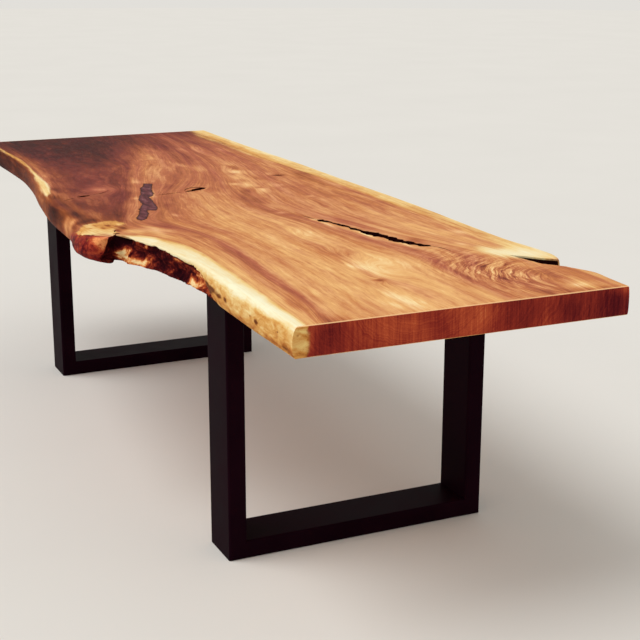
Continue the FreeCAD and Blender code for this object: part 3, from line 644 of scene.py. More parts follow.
def weather(board, rows, section):
    """Moves the loop's points in and out: long waves and ripples on the natural edges, lumps on the
    burl and crags in the bark pocket. The sawn ends stay flat. Returns the rows and the masks."""
    flat = rows.reshape(-1, 3)
    x = flat[:, 0]
    height = (flat[:, 2] - (board.top_height - board.thickness)) / board.thickness
    tag = np.tile(section, len(rows))
    natural = np.isin(tag, (NEAR, POCKET, FAR_FRONT, FAR_REAR)).astype(float)
    split = np.isin(tag, (SPLIT_IN, SPLIT_OUT)).astype(float)
    burl = (tag == NEAR) * smoothstep(0.16, 0.34, x)
    ceiling = np.interp(x, *BARK_CEILING.T) + roughness("ceiling", flat)
    pocket = (tag == POCKET) * smoothstep(-0.03, 0.05, ceiling - height)
    fold = flat[:, 1] + FOLD_SLOPE * x + FOLD_PLACE + FOLD_LEAN * (1 - height)
    pocket = np.maximum(pocket, (tag == NEAR) * (x > 0.3) * smoothstep(-0.003, 0.003, fold))
    crags = pocket * (-BARK_DEPTH - roughness("crags", flat) - np.abs(roughness("pits", flat)))
    dents = np.zeros(len(flat))
    for part, table in ((POCKET, POCKET_DENTS), (NEAR, BURL_DENTS)):
        for *place, depth in table:
            mid_x, mid_height, along, up = place
            dents -= depth * bell(x, height, mid_x, mid_height, along, up) * (tag == part)
    calm = calm_near(board, flat, BURL_EDGE[-1, :2], 0.030)
    foot_x, foot_reach = FOLD_FOOT
    calm *= 1 - (tag == NEAR) * np.exp(-((x - foot_x) / foot_reach) ** 2) * smoothstep(0.10, 0.0, height)
    calm *= natural * smoothstep(0, 0.04, board.length / 2 - np.abs(x))
    lumps = roughness("lumps", flat) * burl
    push = calm * (roughness("waves", flat) + roughness("ripples", flat) + lumps + crags + dents)
    push += split * roughness("split", flat) * calm_near(board, flat, SPLIT_FRONT_WALL[-1], 0.025)
    moved = flat + outward(rows).reshape(-1, 3) * push[:, None]
    moved[:, 1] = np.clip(moved[:, 1], BOARD_LOW[1] + INSET, BOARD_HIGH[1] - INSET)
    masks = {"bark": pocket, "burl": burl, "edge": natural, "split": split, "height": height}
    return moved.reshape(rows.shape), masks


def inside(points, loop):
    """True for points inside a closed loop: a line to the right crosses it an odd number of times."""
    result = np.zeros(len(points), bool)
    ax, ay = loop.T
    bx, by = np.roll(ax, -1), np.roll(ay, -1)
    for start in range(0, len(points), CHUNK):
        x, y = points[start:start + CHUNK, :, None].transpose(1, 0, 2)
        spans = (ay > y) != (by > y)
        with np.errstate(divide="ignore", invalid="ignore"):
            cross = x < ax + (y - ay) * (bx - ax) / (by - ay)
        result[start:start + CHUNK] = np.logical_xor.reduce(spans & cross, axis=1)
    return result


def on_face(points, loops):
    """True for points inside the first loop and outside the others."""
    result = inside(points, loops[0])
    for hole in loops[1:]:
        result &= ~inside(points, hole)
    return result


def nearest(points, others):
    """Distance from each point to the nearest of the others."""
    result = np.empty(len(points))
    for start in range(0, len(points), CHUNK):
        gap = points[start:start + CHUNK, None] - others
        result[start:start + CHUNK] = np.sqrt((gap ** 2).sum(axis=2).min(axis=1))
    return result


def shaken_grid(low, high, spacing, seed):
    """A triangular grid of points over a rectangle, each shaken a little."""
    xs = np.arange(low[0], high[0], spacing)
    ys = np.arange(low[1], high[1], spacing * math.sqrt(3) / 2)
    grid_x, grid_y = np.meshgrid(xs, ys)
    grid_x[1::2] += spacing / 2
    grid = np.column_stack([grid_x.ravel(), grid_y.ravel()])
    return grid + np.random.default_rng(seed).uniform(-SHAKE, SHAKE, grid.shape) * spacing


def in_patches(points, patches):
    """True for points inside any of the patches, which are ellipses."""
    result = np.zeros(len(points), bool)
    for x, y, along, across in patches:
        result |= ((points - (x, y)) ** 2 / (along ** 2, across ** 2)).sum(axis=1) < 1
    return result


def face_points(loops, spacing, seed, gap, patches, within):
    """The points of a shaken grid that lie on the face, within or outside its patches, and further
    than a gap from its loops."""
    grid = shaken_grid(loops[0].min(axis=0), loops[0].max(axis=0), spacing, seed)
    grid = grid[in_patches(grid, patches) == within]
    grid = grid[on_face(grid, loops)]
    return grid[nearest(grid, np.vstack(loops)) > gap]


def flat_face(loops, spacing, seed, patches=()):
    """Triangles of a flat face inside the first loop and outside the others: points on a slightly
    shaken triangular grid, finer in the patches, join the loops, and Delaunay's rule joins them all.
    Returns the inner points and triangles that number the loops' points first."""
    grid = face_points(loops, spacing, seed, spacing * RIM_GAP, patches, False)
    if len(patches):
        fine_gap = spacing * FINE_RIM_GAP
        grid = np.vstack([grid, face_points(loops, spacing / FINER, seed + 1, fine_gap, patches, True)])
    rims = sum(len(loop) for loop in loops)
    points = np.vstack([*loops, grid])
    edges, start = [], 0
    for loop in loops:
        ring = np.arange(start, start + len(loop))
        edges.append(np.column_stack([ring, np.roll(ring, -1)]))
        start += len(loop)
    found = delaunay_2d_cdt(
        [Vector(p) for p in points.tolist()], np.vstack(edges).tolist(), [], 0, SAME_PLACE, True
    )
    if len(found[0]) != len(points):
        raise RuntimeError(f"the face's loops cross or touch: {len(found[0])} from {len(points)}")
    original = np.array([ids[0] for ids in found[3]])
    tris = original[np.array(found[2])]
    on_rims = (tris < rims).all(axis=1)
    good = ~on_rims
    good[on_rims] = on_face(points[tris[on_rims]].mean(axis=1), loops)
    return grid, tris[good]


def to_right(along):
    """Unit vectors to the right of flat directions."""
    side = np.column_stack([along[:, 1], -along[:, 0]])
    return side / np.linalg.norm(side, axis=1)[:, None]


def void_ring(board):
    """The hole's ragged outline, anticlockwise: the table's loop resampled evenly, then moved
    sideways by layered noise."""
    points = VOID * board_size(board)
    closed = np.vstack([points, points[:1]])
    run = run_along(closed)
    at = np.linspace(0, run[-1], round(run[-1] / VOID_SPACING) + 1)[:-1]
    ring = np.column_stack([np.interp(at, run, closed[:, 0]), np.interp(at, run, closed[:, 1])])
    side = to_right(np.roll(ring, -1, axis=0) - np.roll(ring, 1, axis=0))
    noise = layered_noise(at_height(ring, 0), VOID_SPACING * 4, VOID_SEED)
    ring = ring + side * (VOID_RAGGED * noise)[:, None]
    area = (ring[:, 0] * np.roll(ring[:, 1], -1) - np.roll(ring[:, 0], -1) * ring[:, 1]).sum()
    return ring if area > 0 else ring[::-1]


def crack_rails(board, shares, seed):
    """A crack's middle line and its two sides, which leave out the sharp ends: points either side
    of the line, as far as the table's halves and ragged noise open them."""
    middle = shares[:, :2] * board_size(board)
    run = run_along(middle)
    at = np.linspace(0, run[-1], round(run[-1] / CRACK_SPACING) + 1)
    line = hermite(run, middle, at)
    opening = np.maximum(np.interp(at, run, shares[:, 2] * board.width), CRACK_LEAST)
    side = to_right(np.gradient(line, axis=0))
    space = at_height(line, 0)

    def rail(cell, first_seed, sign):
        coarse = CRACK_COARSE * lattice_noise(space, cell, first_seed)
        fine = CRACK_FINE * lattice_noise(space, CRACK_CELLS["fine"], first_seed + 1)
        return (line + sign * side * (opening * (CRACK_WIDTH + coarse + fine))[:, None])[1:-1]

    return line, rail(CRACK_CELLS["left"], seed, -1), rail(CRACK_CELLS["right"], seed + 2, 1)


def grain_field(x, y):
    """The growth line's number at each point, in metres: between two neighbouring grain lines it
    runs from one number to the next as a cubic in y whose end slopes are the harmonic means of the
    straight slopes, so that they always rise, and every swelling adds its own bell-shaped lift."""
    levels = np.array([level for level, _ in GRAIN_LINES])[:, None] / 1000
    curves = np.array([hermite(*np.array(pairs).T / 1000, x) for _, pairs in GRAIN_LINES])
    gap = np.diff(curves, axis=0)
    chord = np.diff(levels, axis=0) / gap
    slope = np.vstack([chord[:1], 2 * chord[:-1] * chord[1:] / (chord[:-1] + chord[1:]), chord[-1:]])
    field = levels[0] + (y - curves[0]) * slope[0]
    for k in range(len(gap)):
        u = (y - curves[k]) / gap[k]
        value = cubic(u, gap[k], levels[k], levels[k + 1], slope[k], slope[k + 1])
        field = np.where((u > 0) & (u <= 1), value, field)
    field = np.where(y > curves[-1], levels[-1] + (y - curves[-1]) * slope[-1], field)
    for *place, lift in SWELLINGS:
        field = field + lift * bell(x, y, *place)
    return field


def tone_fields(x, field):
    """How light and how golden the heartwood is: a slow change along the board, partly painted fall-off of
    light, plus every zone's bell, measured along the board and across the growth lines."""
    stations, light, warm = TONE_AND_FALLOFF_ALONG.T
    light, warm = np.interp(x, stations, light), np.interp(x, stations, warm)
    for mid_x, mid_y, along, across, lighter, warmer in TONE_ZONES:
        centre = grain_field(np.array([mid_x]), np.array([mid_y]))[0]
        zone = bell(x, field, mid_x, centre, along, across)
        light = light + lighter * zone
        warm = warm + warmer * zone
    return light, warm


def touch_field(kind, points):
    """The sum of one kind's touches: each is a bell over its own reach along x, y and z."""
    total = np.zeros(len(points))
    for touch in TOUCHES[kind]:
        if len(touch) == 5:
            touch = (*touch[:2], TOP_TOUCH[0], *touch[2:4], TOP_TOUCH[1], touch[4])
        *place, strength = touch / TOUCH_PARTS
        total += strength * np.exp(-(((points - place[:3]) / place[3:]) ** 2).sum(axis=1))
    return total


def crest_sap_and_highlight(points):
    """How strongly the crest's sapwood and its painted highlight show: a bell across its middle line, near
    the top face.
    """
    x, y, z = points.T
    middle, reach, strength = (np.interp(x, CREST_SAP_AND_HIGHLIGHT[:, 0], CREST_SAP_AND_HIGHLIGHT[:, k]) for k in (1, 2, 3))
    return strength * np.exp(-((y - middle) / reach) ** 2) * smoothstep(*CREST_RISE, z)


def finish_board(thing, shell):
    """Works out the board's surface fields at every vertex and stores them for its material."""
    points = np.concatenate(shell.points)
    x, y, z = points.T
    field = grain_field(x, y)
    light, warm = tone_fields(x, field)
    height, edge, burl = shell.mark("height"), shell.mark("edge"), shell.mark("burl")
    rear_side = edge * (y < 0) * smoothstep(0.30, 0.10, x)
    far_side = edge * (y > 0)
    below_rim = smoothstep(0.97, 0.80, height)
    near_sap = smoothstep(-0.322, -0.352, field) * smoothstep(0.38, 0.52, x) * (1 - burl)
    far_sap = smoothstep(0.375, 0.520, field) * smoothstep(1.16, 1.10, x)
    # Painted highlight: the sapwood is made lighter high on the rounded shoulder of the burled edge.
    shoulder_highlight = smoothstep(0.70, 0.93, height) * smoothstep(-0.335, -0.370, field)
    face_x, face_y, face_along, face_across = BURL_FACE
    rim = ((x - face_x) / face_along) ** 2 + ((y - face_y) / face_across) ** 2
    front = 1.3 * smoothstep(0.95, 1.12, rim) * smoothstep(0.27, 0.33, x) * (y < -0.425) * (x < 0.50)
    # The split's walls take the crack walls' painted shade, fading out near the top face.
    split_wall_shade = shell.mark("split") * smoothstep(0.995, 0.90, height)
    touched = {kind: touch_field(kind, points) for kind in TOUCHES}
    sap = np.maximum.reduce([near_sap, far_sap, 0.8 * far_side * below_rim])
    fields = {
        "light": light - rear_side * below_rim * 0.16 - burl * below_rim * 0.10 + touched["light"],
        "warm": warm + rear_side * 0.35 + touched["warm"],
        # The crest adds sapwood that carries a painted highlight.
        "sap": sap + crest_sap_and_highlight(points) + touched["sap"],
        "sap_light": 0.46 + 0.32 * shoulder_highlight + 0.24 * smoothstep(0.43, 0.51, field) + touched["sap_light"],
        "end_light": touched["end_light"],
        "rust": np.maximum(front, touched["rust"] * np.maximum(edge, burl)),
        "rust_light": touched["rust_light"],
        "stain": touched["stain"],
        "end_sap": np.maximum(near_sap, far_sap),
        "skin": edge * smoothstep(0.97, 0.86, height),
        "bark": shell.mark("bark"),
        "bark_light": touched["bark_light"],
        "crack": np.maximum(shell.mark("crack"), split_wall_shade),
        "curl": bell(x, y, *CURL),
    }
    set_attribute(thing.data, "grain", np.column_stack([x, field, z]))
    for name, values in fields.items():
        set_attribute(thing.data, name, values)


def bore_centres(board):
    """Middles of the threaded inserts: half a bore inside the corners of their nodes' boxes."""
    centres = []
    for name in FRAMES:
        low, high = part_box(f"{name}_inserts")
        half = board.insert_width / 2
        for x in (low[0] + half, high[0] - half):
            for y in (low[1] + half, high[1] - half):
                centres.append((x, y))
    return np.array(centres)


def add_crack(shell, board, shares, depth, seed):
    """Adds a crack's walls, as rings that narrow on their way down, and its floor, as a strip
    between the sides. Returns its mouth as an anticlockwise loop, and that loop's numbers."""
    line, left, right = crack_rails(board, shares, seed)
    loop = np.vstack([line[:1], right, line[-1:], left[::-1]])
    middle = np.vstack([line, line[-2:0:-1]])
    # The crack mark paints shade: part strength on the top face at the mouth, full strength down the walls
    # and floor.
    mouth = ring = shell.add_points(at_height(loop, board.top_height), crack=0.55, height=1.0)
    for share, width in CRACK_WALL:
        narrow = middle + (loop - middle) * width
        lower = shell.add_points(at_height(narrow, board.top_height - share * depth), crack=1.0)
        shell.add_band(ring, lower)
        ring = lower
    sides = len(left)
    starboard, port = ring[:sides + 2], np.r_[ring[:1], ring[:sides:-1]]
    shell.add_tris([[port[0], starboard[1], port[1]], [starboard[-2], port[-1], port[-2]]])
    shell.add_band(starboard[1:-1], port[1:-1], closed=False)
    return loop, mouth


def add_bore(shell, circle, bottom, depth):
    """Adds a blind bore up from the bottom face, its rim and roof marked for painted shade; returns the
    numbers of its rim.
    """
    rim = shell.add_points(at_height(circle, bottom), crack=0.5)
    roof = shell.add_points(at_height(circle, bottom + depth), crack=1.0)
    shell.add_band(roof, rim)
    shell.add_tris(np.column_stack([np.full(len(circle) - 2, roof[0]), roof[2:], roof[1:-1]]))
    return rim


def add_face(shell, loops, numbers, z, spacing, seed, patches=(), up=True, **marks):
    """Adds a flat face at height z between loops whose points are in the shell already."""
    inner, tris = flat_face(loops, spacing, seed, patches)
    inner_numbers = shell.add_points(at_height(inner, z), **marks)
    tris = np.concatenate([*numbers, inner_numbers])[tris]
    shell.add_tris(tris if up else tris[:, ::-1])


def circle_points(steps, radius):
    """Points on a flat circle, anticlockwise."""
    turn = np.linspace(0, 2 * math.pi, steps, endpoint=False)
    return np.column_stack([np.cos(turn), np.sin(turn)]) * radius


def make_board(board):
    """The board as one closed shell: outline rows, top and bottom faces, crack walls, the hole's
    walls and the insert bores."""
    shell = Shell()
    top, bottom = board.top_height, board.top_height - board.thickness
    rows, section = board_rows(board)
    rows, masks = weather(board, rows, section)
    numbers = shell.add_points(rows.reshape(-1, 3), **masks).reshape(len(rows), -1)
    for low, high in zip(numbers, numbers[1:]):
        shell.add_band(low, high)
    hole = void_ring(board)
    # The hole's walls are marked for painted shade.
    hole_top, hole_bottom = (shell.add_points(at_height(hole, z), crack=0.8) for z in (top, bottom))
    shell.add_band(hole_top, hole_bottom)

    loops, loop_numbers = [rows[-1, :, :2], hole], [numbers[-1], hole_top]
    for k, (depth, points) in enumerate(CRACKS):
        shares = np.array(points) / CRACK_PARTS
        loop, mouth = add_crack(shell, board, shares, getattr(board, depth), CRACK_SEED + 10 * k)
        loops.append(loop)
        loop_numbers.append(mouth)
    add_face(shell, loops, loop_numbers, top, board.top_spacing, TOP_SEED, FINE_PATCHES, height=1.0)

    loops, loop_numbers = [rows[0, :, :2], hole], [numbers[0], hole_bottom]
    for centre in bore_centres(board):
        circle = centre + circle_points(BORE_STEPS, board.insert_width / 2)
        loops.append(circle)
        loop_numbers.append(add_bore(shell, circle, bottom, board.bore_deep))
    add_face(shell, loops, loop_numbers, bottom, BOTTOM_SPACING, BOTTOM_SEED, up=False)

    thing = shell.build("live_edge_board")
    finish_board(thing, shell)
    return thing


def make_resin(board):
    """The resin as a flat-faced plug with the hole's own outline. Its rim mark is 1 at the walls
    and falls as the exponential of minus the distance from them over RIM_FADE."""
    shell = Shell()
    ring = void_ring(board)
    top, bottom = board.top_height, board.top_height - board.thickness
    low, high = (shell.add_points(at_height(ring, z), rim=1.0) for z in (bottom, top))
    shell.add_band(low, high)
    inner, tris = flat_face([ring], RESIN_SPACING, RESIN_SEED)
    rim = np.exp(-nearest(inner, ring) / RIM_FADE)
    upper, lower = (shell.add_points(at_height(inner, z), rim=rim) for z in (top, bottom))
    shell.add_tris(np.r_[high, upper][tris])
    shell.add_tris(np.r_[low, lower][tris][:, ::-1])
    thing = shell.build("resin_fill")
    set_attribute(thing.data, "rim", shell.mark("rim"))
    return thing


def srgb(colour):
    """Linear red, green and blue of an sRGB colour out of 255, and full opacity."""
    c = np.array(colour) / 255
    return (*np.where(c <= 0.04045, c / 12.92, ((c + 0.055) / 1.055) ** 2.4).tolist(), 1)


class Graph:
    """Builds the nodes of one material or world with short calls; most return an output socket."""

    def __init__(self, owner, output="ShaderNodeOutputMaterial"):
        owner.use_nodes = True
        self.owner, self.tree = owner, owner.node_tree
        self.tree.nodes.clear()
        self.output = self.tree.nodes.new(output)

    def node(self, kind, inputs=None, **settings):
        """Adds a node, sets its own settings, and fills or links its inputs by name or number."""
        made = self.tree.nodes.new(kind)
        for key, value in settings.items():
            setattr(made, key, value)
        for key, value in (inputs or {}).items():
            self.feed(made.inputs[key], value)
        return made

    def feed(self, socket, value):
        """Links a socket or sets its value; None leaves it as it is."""
        if isinstance(value, bpy.types.NodeSocket):
            self.tree.links.new(value, socket)
        elif value is not None:
            socket.default_value = value

    def math(self, operation, *values, clamp=False):
        made = self.node("ShaderNodeMath", operation=operation, use_clamp=clamp)
        for socket, value in zip(made.inputs, values):
            self.feed(socket, value)
        return made.outputs[0]

    def vector(self, operation, *values):
        made = self.node("ShaderNodeVectorMath", operation=operation)
        for socket, value in zip(made.inputs, values):
            self.feed(socket, value)
        return made.outputs["Value" if operation == "LENGTH" else "Vector"]

    def plus(self, onto, *parts):
        """Adds values, each times its own amount."""
        for value, amount in parts:
            onto = self.math("MULTIPLY_ADD", value, amount, onto)
        return onto

    def swing(self, onto, *parts):
        """Adds noises, each less its mean of a half and times its own amount."""
        return self.plus(onto, *((self.math("SUBTRACT", value, 0.5), amount) for value, amount in parts))

    def join(self, **axes):
        return self.node("ShaderNodeCombineXYZ", axes).outputs[0]

    def split(self, vector):
        return self.node("ShaderNodeSeparateXYZ", {"Vector": vector}).outputs

    def attribute(self, name, output="Fac"):
        return self.node("ShaderNodeAttribute", attribute_name=name).outputs[output]

    def place(self):
        return self.node("ShaderNodeTexCoord").outputs["Object"]

    def noise(self, vector, scale, detail, roughness=0.5, distortion=0.0):
        """Noise at one scale, or at a scale for each axis."""
        if isinstance(scale, tuple):
            vector, scale = self.vector("MULTIPLY", vector, scale), 1.0
        return self.node("ShaderNodeTexNoise", {
            "Vector": vector, "Scale": scale, "Detail": detail, "Roughness": roughness,
            "Distortion": distortion,
        }).outputs["Fac"]

    def ease(self, value, low, high, out_low=0.0, out_high=1.0):
        """Out_low below low, out_high above high and a cubic ease between."""
        return self.node("ShaderNodeMapRange", {
            "Value": value, "From Min": low, "From Max": high, "To Min": out_low, "To Max": out_high,
        }, interpolation_type="SMOOTHSTEP").outputs["Result"]

    def ramp(self, value, *stops):
        """A colour ramp; each stop is a position and an sRGB colour out of 255."""
        made = self.node("ShaderNodeValToRGB", {"Fac": value})
        elements = made.color_ramp.elements
        while len(elements) < len(stops):
            elements.new(0.5)
        for element, (position, colour) in zip(elements, stops):
            element.position = position
            element.color = srgb(colour)
        return made.outputs["Color"]

    def mix(self, factor, a, b):
        return self.node("ShaderNodeMix", {0: factor, 6: a, 7: b}, data_type="RGBA").outputs[2]

    def bump(self, height, distance, strength, normal=None):
        return self.node("ShaderNodeBump", {
            "Height": height, "Distance": distance, "Strength": strength, "Normal": normal,
        }).outputs["Normal"]

    def surface(self, shader):
        """Joins a shader node to the output; returns the finished material or world."""
        self.tree.links.new(shader.outputs[0], self.output.inputs["Surface"])
        return self.owner

    def shade(self, **inputs):
        """Finishes with a Principled shader."""
        inputs = {name.replace("_", " "): value for name, value in inputs.items()}
        return self.surface(self.node("ShaderNodeBsdfPrincipled", inputs))


ROSY_HEART = [
    (0.0, (30, 5, 6)), (0.2, (74, 24, 22)), (0.4, (122, 52, 42)), (0.6, (172, 88, 66)),
    (0.8, (214, 136, 102)), (1.0, (244, 198, 156)),
]
GOLDEN_HEART = [
    (0.0, (38, 12, 4)), (0.2, (94, 40, 16)), (0.4, (152, 78, 36)), (0.6, (205, 131, 77)),
    (0.8, (238, 185, 119)), (1.0, (255, 234, 178)),
]
SAPWOOD = [
    (0.0, (138, 66, 24)), (0.2, (190, 118, 54)), (0.42, (224, 166, 90)), (0.66, (242, 209, 142)),
    (1.0, (249, 243, 208)),
]
BARK = [
    (0.0, (34, 5, 12)), (0.26, (66, 15, 18)), (0.46, (116, 38, 28)), (0.62, (176, 78, 42)),
    (0.78, (228, 142, 78)), (1.0, (254, 220, 160)),
]
END_SAP = [(0.0, (132, 62, 18)), (0.4, (214, 146, 72)), (1.0, (255, 226, 146))]
END_GRAIN = [
    (0.0, (50, 6, 18)), (0.25, (94, 22, 27)), (0.5, (148, 49, 37)), (0.75, (196, 86, 52)),
    (1.0, (240, 156, 96)),
]
SMOKY_RESIN = [(0.34, (52, 12, 20)), (0.48, (98, 40, 45)), (0.62, (128, 76, 80)), (0.76, (158, 110, 108))]
# The second colour is painted shade in cracks, the hole and the bores; the third is a painted highlight
# along the sawn ends' top edges.
RESIN_RIM, CRACK_WALL_SHADE, ARRIS_HIGHLIGHT = srgb((40, 4, 12)), srgb((30, 3, 6)), srgb((255, 206, 150))
STAIN_HALO, STAIN = srgb((196, 118, 48)), srgb((92, 40, 14))

# Middle of the curled figure's plumes, and the pith that the end grain's rings run round.
PLUME_MIDDLE, PITH = (1.33, 0.40, 0), (0, -0.055, 0.800)


def walnut_material(board):
    """Oiled walnut. The colour comes from bands, growth rings, fibres and pores that run along the
    growth lines, on two ramps mixed by how golden the wood is, with sapwood, rust-red burl wood,
    bark, stains, painted shade on the walls of cracks, the hole and the bores, a painted highlight
    along the sawn ends' top edges, and end grain laid over them."""
    g = Graph(bpy.data.materials.new("oiled_walnut"))
    place = g.place()
    x, y, z = g.split(place)

    flow = g.attribute("grain", "Vector")
    drift = g.noise(flow, (2.6, 9, 3), 3, 0.55)
    grain = g.vector("ADD", flow, g.join(Y=g.math("MULTIPLY_ADD", drift, 0.036, -0.018)))
    bands = g.noise(grain, (0.9, 26, 6), 3, 0.55)
    streaks = g.noise(grain, (8.5, 118, 40), 6, 0.66)
    fibres = g.noise(grain, (26, 620, 160), 3, 0.65)
    mottle = g.noise(place, (9, 18, 14), 5, 0.65, 0.5)
    pores = g.ease(g.noise(grain, (60, 1300, 500), 2), 0.60, 0.70)
    rings = g.math("FRACT", g.plus(g.math("MULTIPLY", bands, 9.0), (g.split(grain)["Y"], 74.0)))
    rings = g.math("MULTIPLY", g.math("POWER", rings, 4.0), g.ease(mottle, 0.35, 0.65))

    apart = g.vector("MULTIPLY", g.vector("SUBTRACT", place, PLUME_MIDDLE), (1, 1.2, 0))
    feather = g.join(
        X=g.plus(g.math("MULTIPLY", g.vector("LENGTH", apart), 105.0), (mottle, 4.0)),
        Y=g.math("MULTIPLY", x, 11.0),
        Z=g.math("MULTIPLY", y, 11.0),
    )
    plumes = g.noise(feather, 1.0, 4, 0.6, 0.4)
    curl = g.math("MULTIPLY", g.attribute("curl"), g.math("SUBTRACT", plumes, 0.5))

    light = g.swing(g.attribute("light"), (bands, 0.36), (streaks, 0.52), (fibres, 0.14), (mottle, 0.25))
    light = g.plus(light, (rings, -0.09), (curl, 1.6), (pores, -0.05))
    tint = g.noise(grain, (1.6, 30, 8), 4, 0.6)
    warm = g.swing(g.attribute("warm"), (tint, 1.5), (mottle, 0.6))
    warm = g.math("MULTIPLY_ADD", curl, 2.2, warm, clamp=True)
    colour = g.mix(warm, g.ramp(light, *ROSY_HEART), g.ramp(light, *GOLDEN_HEART))

    knots = g.noise(place, (24, 24, 60), 5, 0.62, 0.6)
    sap_light = g.swing(
        g.attribute("sap_light"), (bands, 0.40), (streaks, 0.55), (fibres, 0.16), (mottle, 0.55)
    )
    sap_light = g.plus(sap_light, (g.attribute("skin"), g.math("MULTIPLY_ADD", knots, 1.1, -0.50)))
    sap = g.ease(g.swing(g.attribute("sap"), (bands, 0.7), (streaks, 0.8)), 0.22, 0.80)
    colour = g.mix(sap, colour, g.ramp(sap_light, *SAPWOOD))

    blotches = g.noise(place, 30, 6, 0.7, 0.4)
    veins = g.math("ABSOLUTE", g.math("SUBTRACT", g.noise(place, 62, 5, 0.6, 0.6), 0.5))
    rust_light = g.swing(g.ease(blotches, 0.25, 0.8, 0.18, 0.82), (streaks, 0.4))
    rust_light = g.math("ADD", rust_light, g.ease(veins, 0.0, 0.025, -0.28, 0.0))
    rust_light = g.math("ADD", rust_light, g.attribute("rust_light"))
    rust = g.ease(g.swing(g.attribute("rust"), (blotches, 0.7)), 0.30, 0.80)
    colour = g.mix(rust, colour, g.ramp(rust_light, *END_GRAIN))

    crumbs = g.noise(place, (22, 22, 38), 7, 0.66, 0.5)
    bark_light = g.swing(g.ease(crumbs, 0.30, 0.88), (g.noise(place, 120, 4, 0.6), 0.5))
    bark_light = g.math("ADD", bark_light, g.attribute("bark_light"))
    bark = g.ease(g.swing(g.attribute("bark"), (crumbs, 0.5)), 0.4, 0.6)
    colour = g.mix(bark, colour, g.ramp(bark_light, *BARK))

    specks = g.noise(place, (45, 80, 120), 3, 0.6)
    stain = g.swing(g.attribute("stain"), (specks, 1.0))
    halo, stain = g.ease(stain, 0.26, 0.80, 0.0, 0.75), g.ease(stain, 0.40, 0.95, 0.0, 0.9)

    def stained(wood):
        return g.mix(stain, g.mix(halo, wood, STAIN_HALO), STAIN)

    # Painted shade: the walls and floors of cracks, the split, the hole and the bores, and the top face at
    # a crack's mouth, go towards near black.
    crack = g.ease(g.attribute("crack"), 0.30, 0.85)
    colour = g.mix(crack, stained(colour), CRACK_WALL_SHADE)

    reach, half = g.math("ABSOLUTE", x), board.length / 2
    # Painted highlight: a light cream line along the top edge of the sawn ends, where the arris catches
    # the light.
    arris = g.ease(reach, half - 0.0045, half - 0.0022)
    upper = g.ease(z, board.top_height - 0.008, board.top_height - 0.003)
    arris = g.math("MULTIPLY", g.math("MULTIPLY", arris, upper), 0.85)
    colour = g.mix(arris, colour, ARRIS_HIGHLIGHT)

    from_pith = g.vector("MULTIPLY", g.vector("SUBTRACT", place, PITH), (0, 0.62, 0.95))
    rounds = g.plus(g.math("MULTIPLY", mottle, 7.0), (g.vector("LENGTH", from_pith), 250.0))
    arcs = g.noise(g.join(X=rounds), 1.0, 6, 0.70)
    speckle = g.noise(place, 420, 3, 0.7)
    patches = g.noise(place, (0.1, 13, 9), 4, 0.6)
    rays = g.noise(place, (0.1, 210, 9), 3, 0.6)
    end_light = g.math("ADD", g.attribute("end_light"), 0.535)
    end_light = g.swing(end_light, (patches, 0.55), (speckle, 0.25), (arcs, 0.62), (rays, 0.45))
    end_sap = g.ease(g.swing(g.attribute("end_sap"), (speckle, 0.2), (patches, 0.5)), 0.20, 0.80)
    pale_end = g.ramp(g.swing(0.50, (knots, 1.7), (speckle, 0.3)), *END_SAP)
    end_colour = g.mix(end_sap, g.ramp(end_light, *END_GRAIN), pale_end)
    end = g.math("GREATER_THAN", reach, half - board.end_arris * 0.30)
    colour = g.mix(end, colour, stained(end_colour))

    roughness = g.ease(fibres, 0.2, 0.8, 0.46, 0.58)
    roughness = g.plus(roughness, (g.math("MAXIMUM", bark, crack), 0.35))
    relief = g.plus(g.math("MULTIPLY", fibres, 0.35), (pores, -0.4))
    normal = g.bump(relief, 0.0004, 0.5)
    normal = g.bump(g.math("MULTIPLY", bark, crumbs), 0.006, 0.9, normal)
    return g.shade(Base_Color=colour, Roughness=roughness, Normal=normal, Specular_IOR_Level=0.02)


def resin_material():
    """Smoky casting resin: cloudy brown-mauve, flush and satin, and darker towards its walls."""
    g = Graph(bpy.data.materials.new("smoky_resin"))
    place = g.place()
    clouds = g.noise(g.vector("MULTIPLY", place, (0.4, 1, 1)), 44, 4, 0.7, 0.8)
    rim = g.math("SUBTRACT", g.attribute("rim"), 0.40)
    rim = g.ease(g.plus(rim, (g.noise(place, 150, 3, 0.6), 0.8)), 0.05, 0.75, 0.0, 0.6)
    colour = g.mix(rim, g.ramp(clouds, *SMOKY_RESIN), RESIN_RIM)
    return g.shade(Base_Color=colour, Roughness=0.42, Specular_IOR_Level=0.015)


def powder_coat_material():
    """Satin black powder coat: fine orange peel and the faintest cloudiness in the sheen."""
    g = Graph(bpy.data.materials.new("black_powder_coat"))
    place = g.place()
    clouds = g.noise(place, 7, 3)
    colour = g.ramp(clouds, (0.3, (18, 3, 11)), (0.7, (27, 6, 16)))
    roughness = g.ease(clouds, 0.3, 0.7, 0.42, 0.50)
    peel = g.bump(g.noise(place, 520, 2), 0.00025, 0.35)
    return g.shade(Base_Color=colour, Roughness=roughness, Normal=peel, Specular_IOR_Level=0.01)


def steel_material(name, dark, bright, rough):
    """Plated steel: fine turned scratches and soft patches of tone."""
    g = Graph(bpy.data.materials.new(name))
    place = g.place()
    colour = g.ramp(g.noise(place, 90, 3, 0.6), (0.3, dark), (0.7, bright))
    scratches = g.noise(g.vector("MULTIPLY", place, (1, 1, 12)), 260, 2, 0.6)
    roughness = g.ease(scratches, 0.3, 0.7, rough, rough + 0.15)
    normal = g.bump(scratches, 0.0001, 0.4)
    return g.shade(Base_Color=colour, Metallic=1.0, Roughness=roughness, Normal=normal)


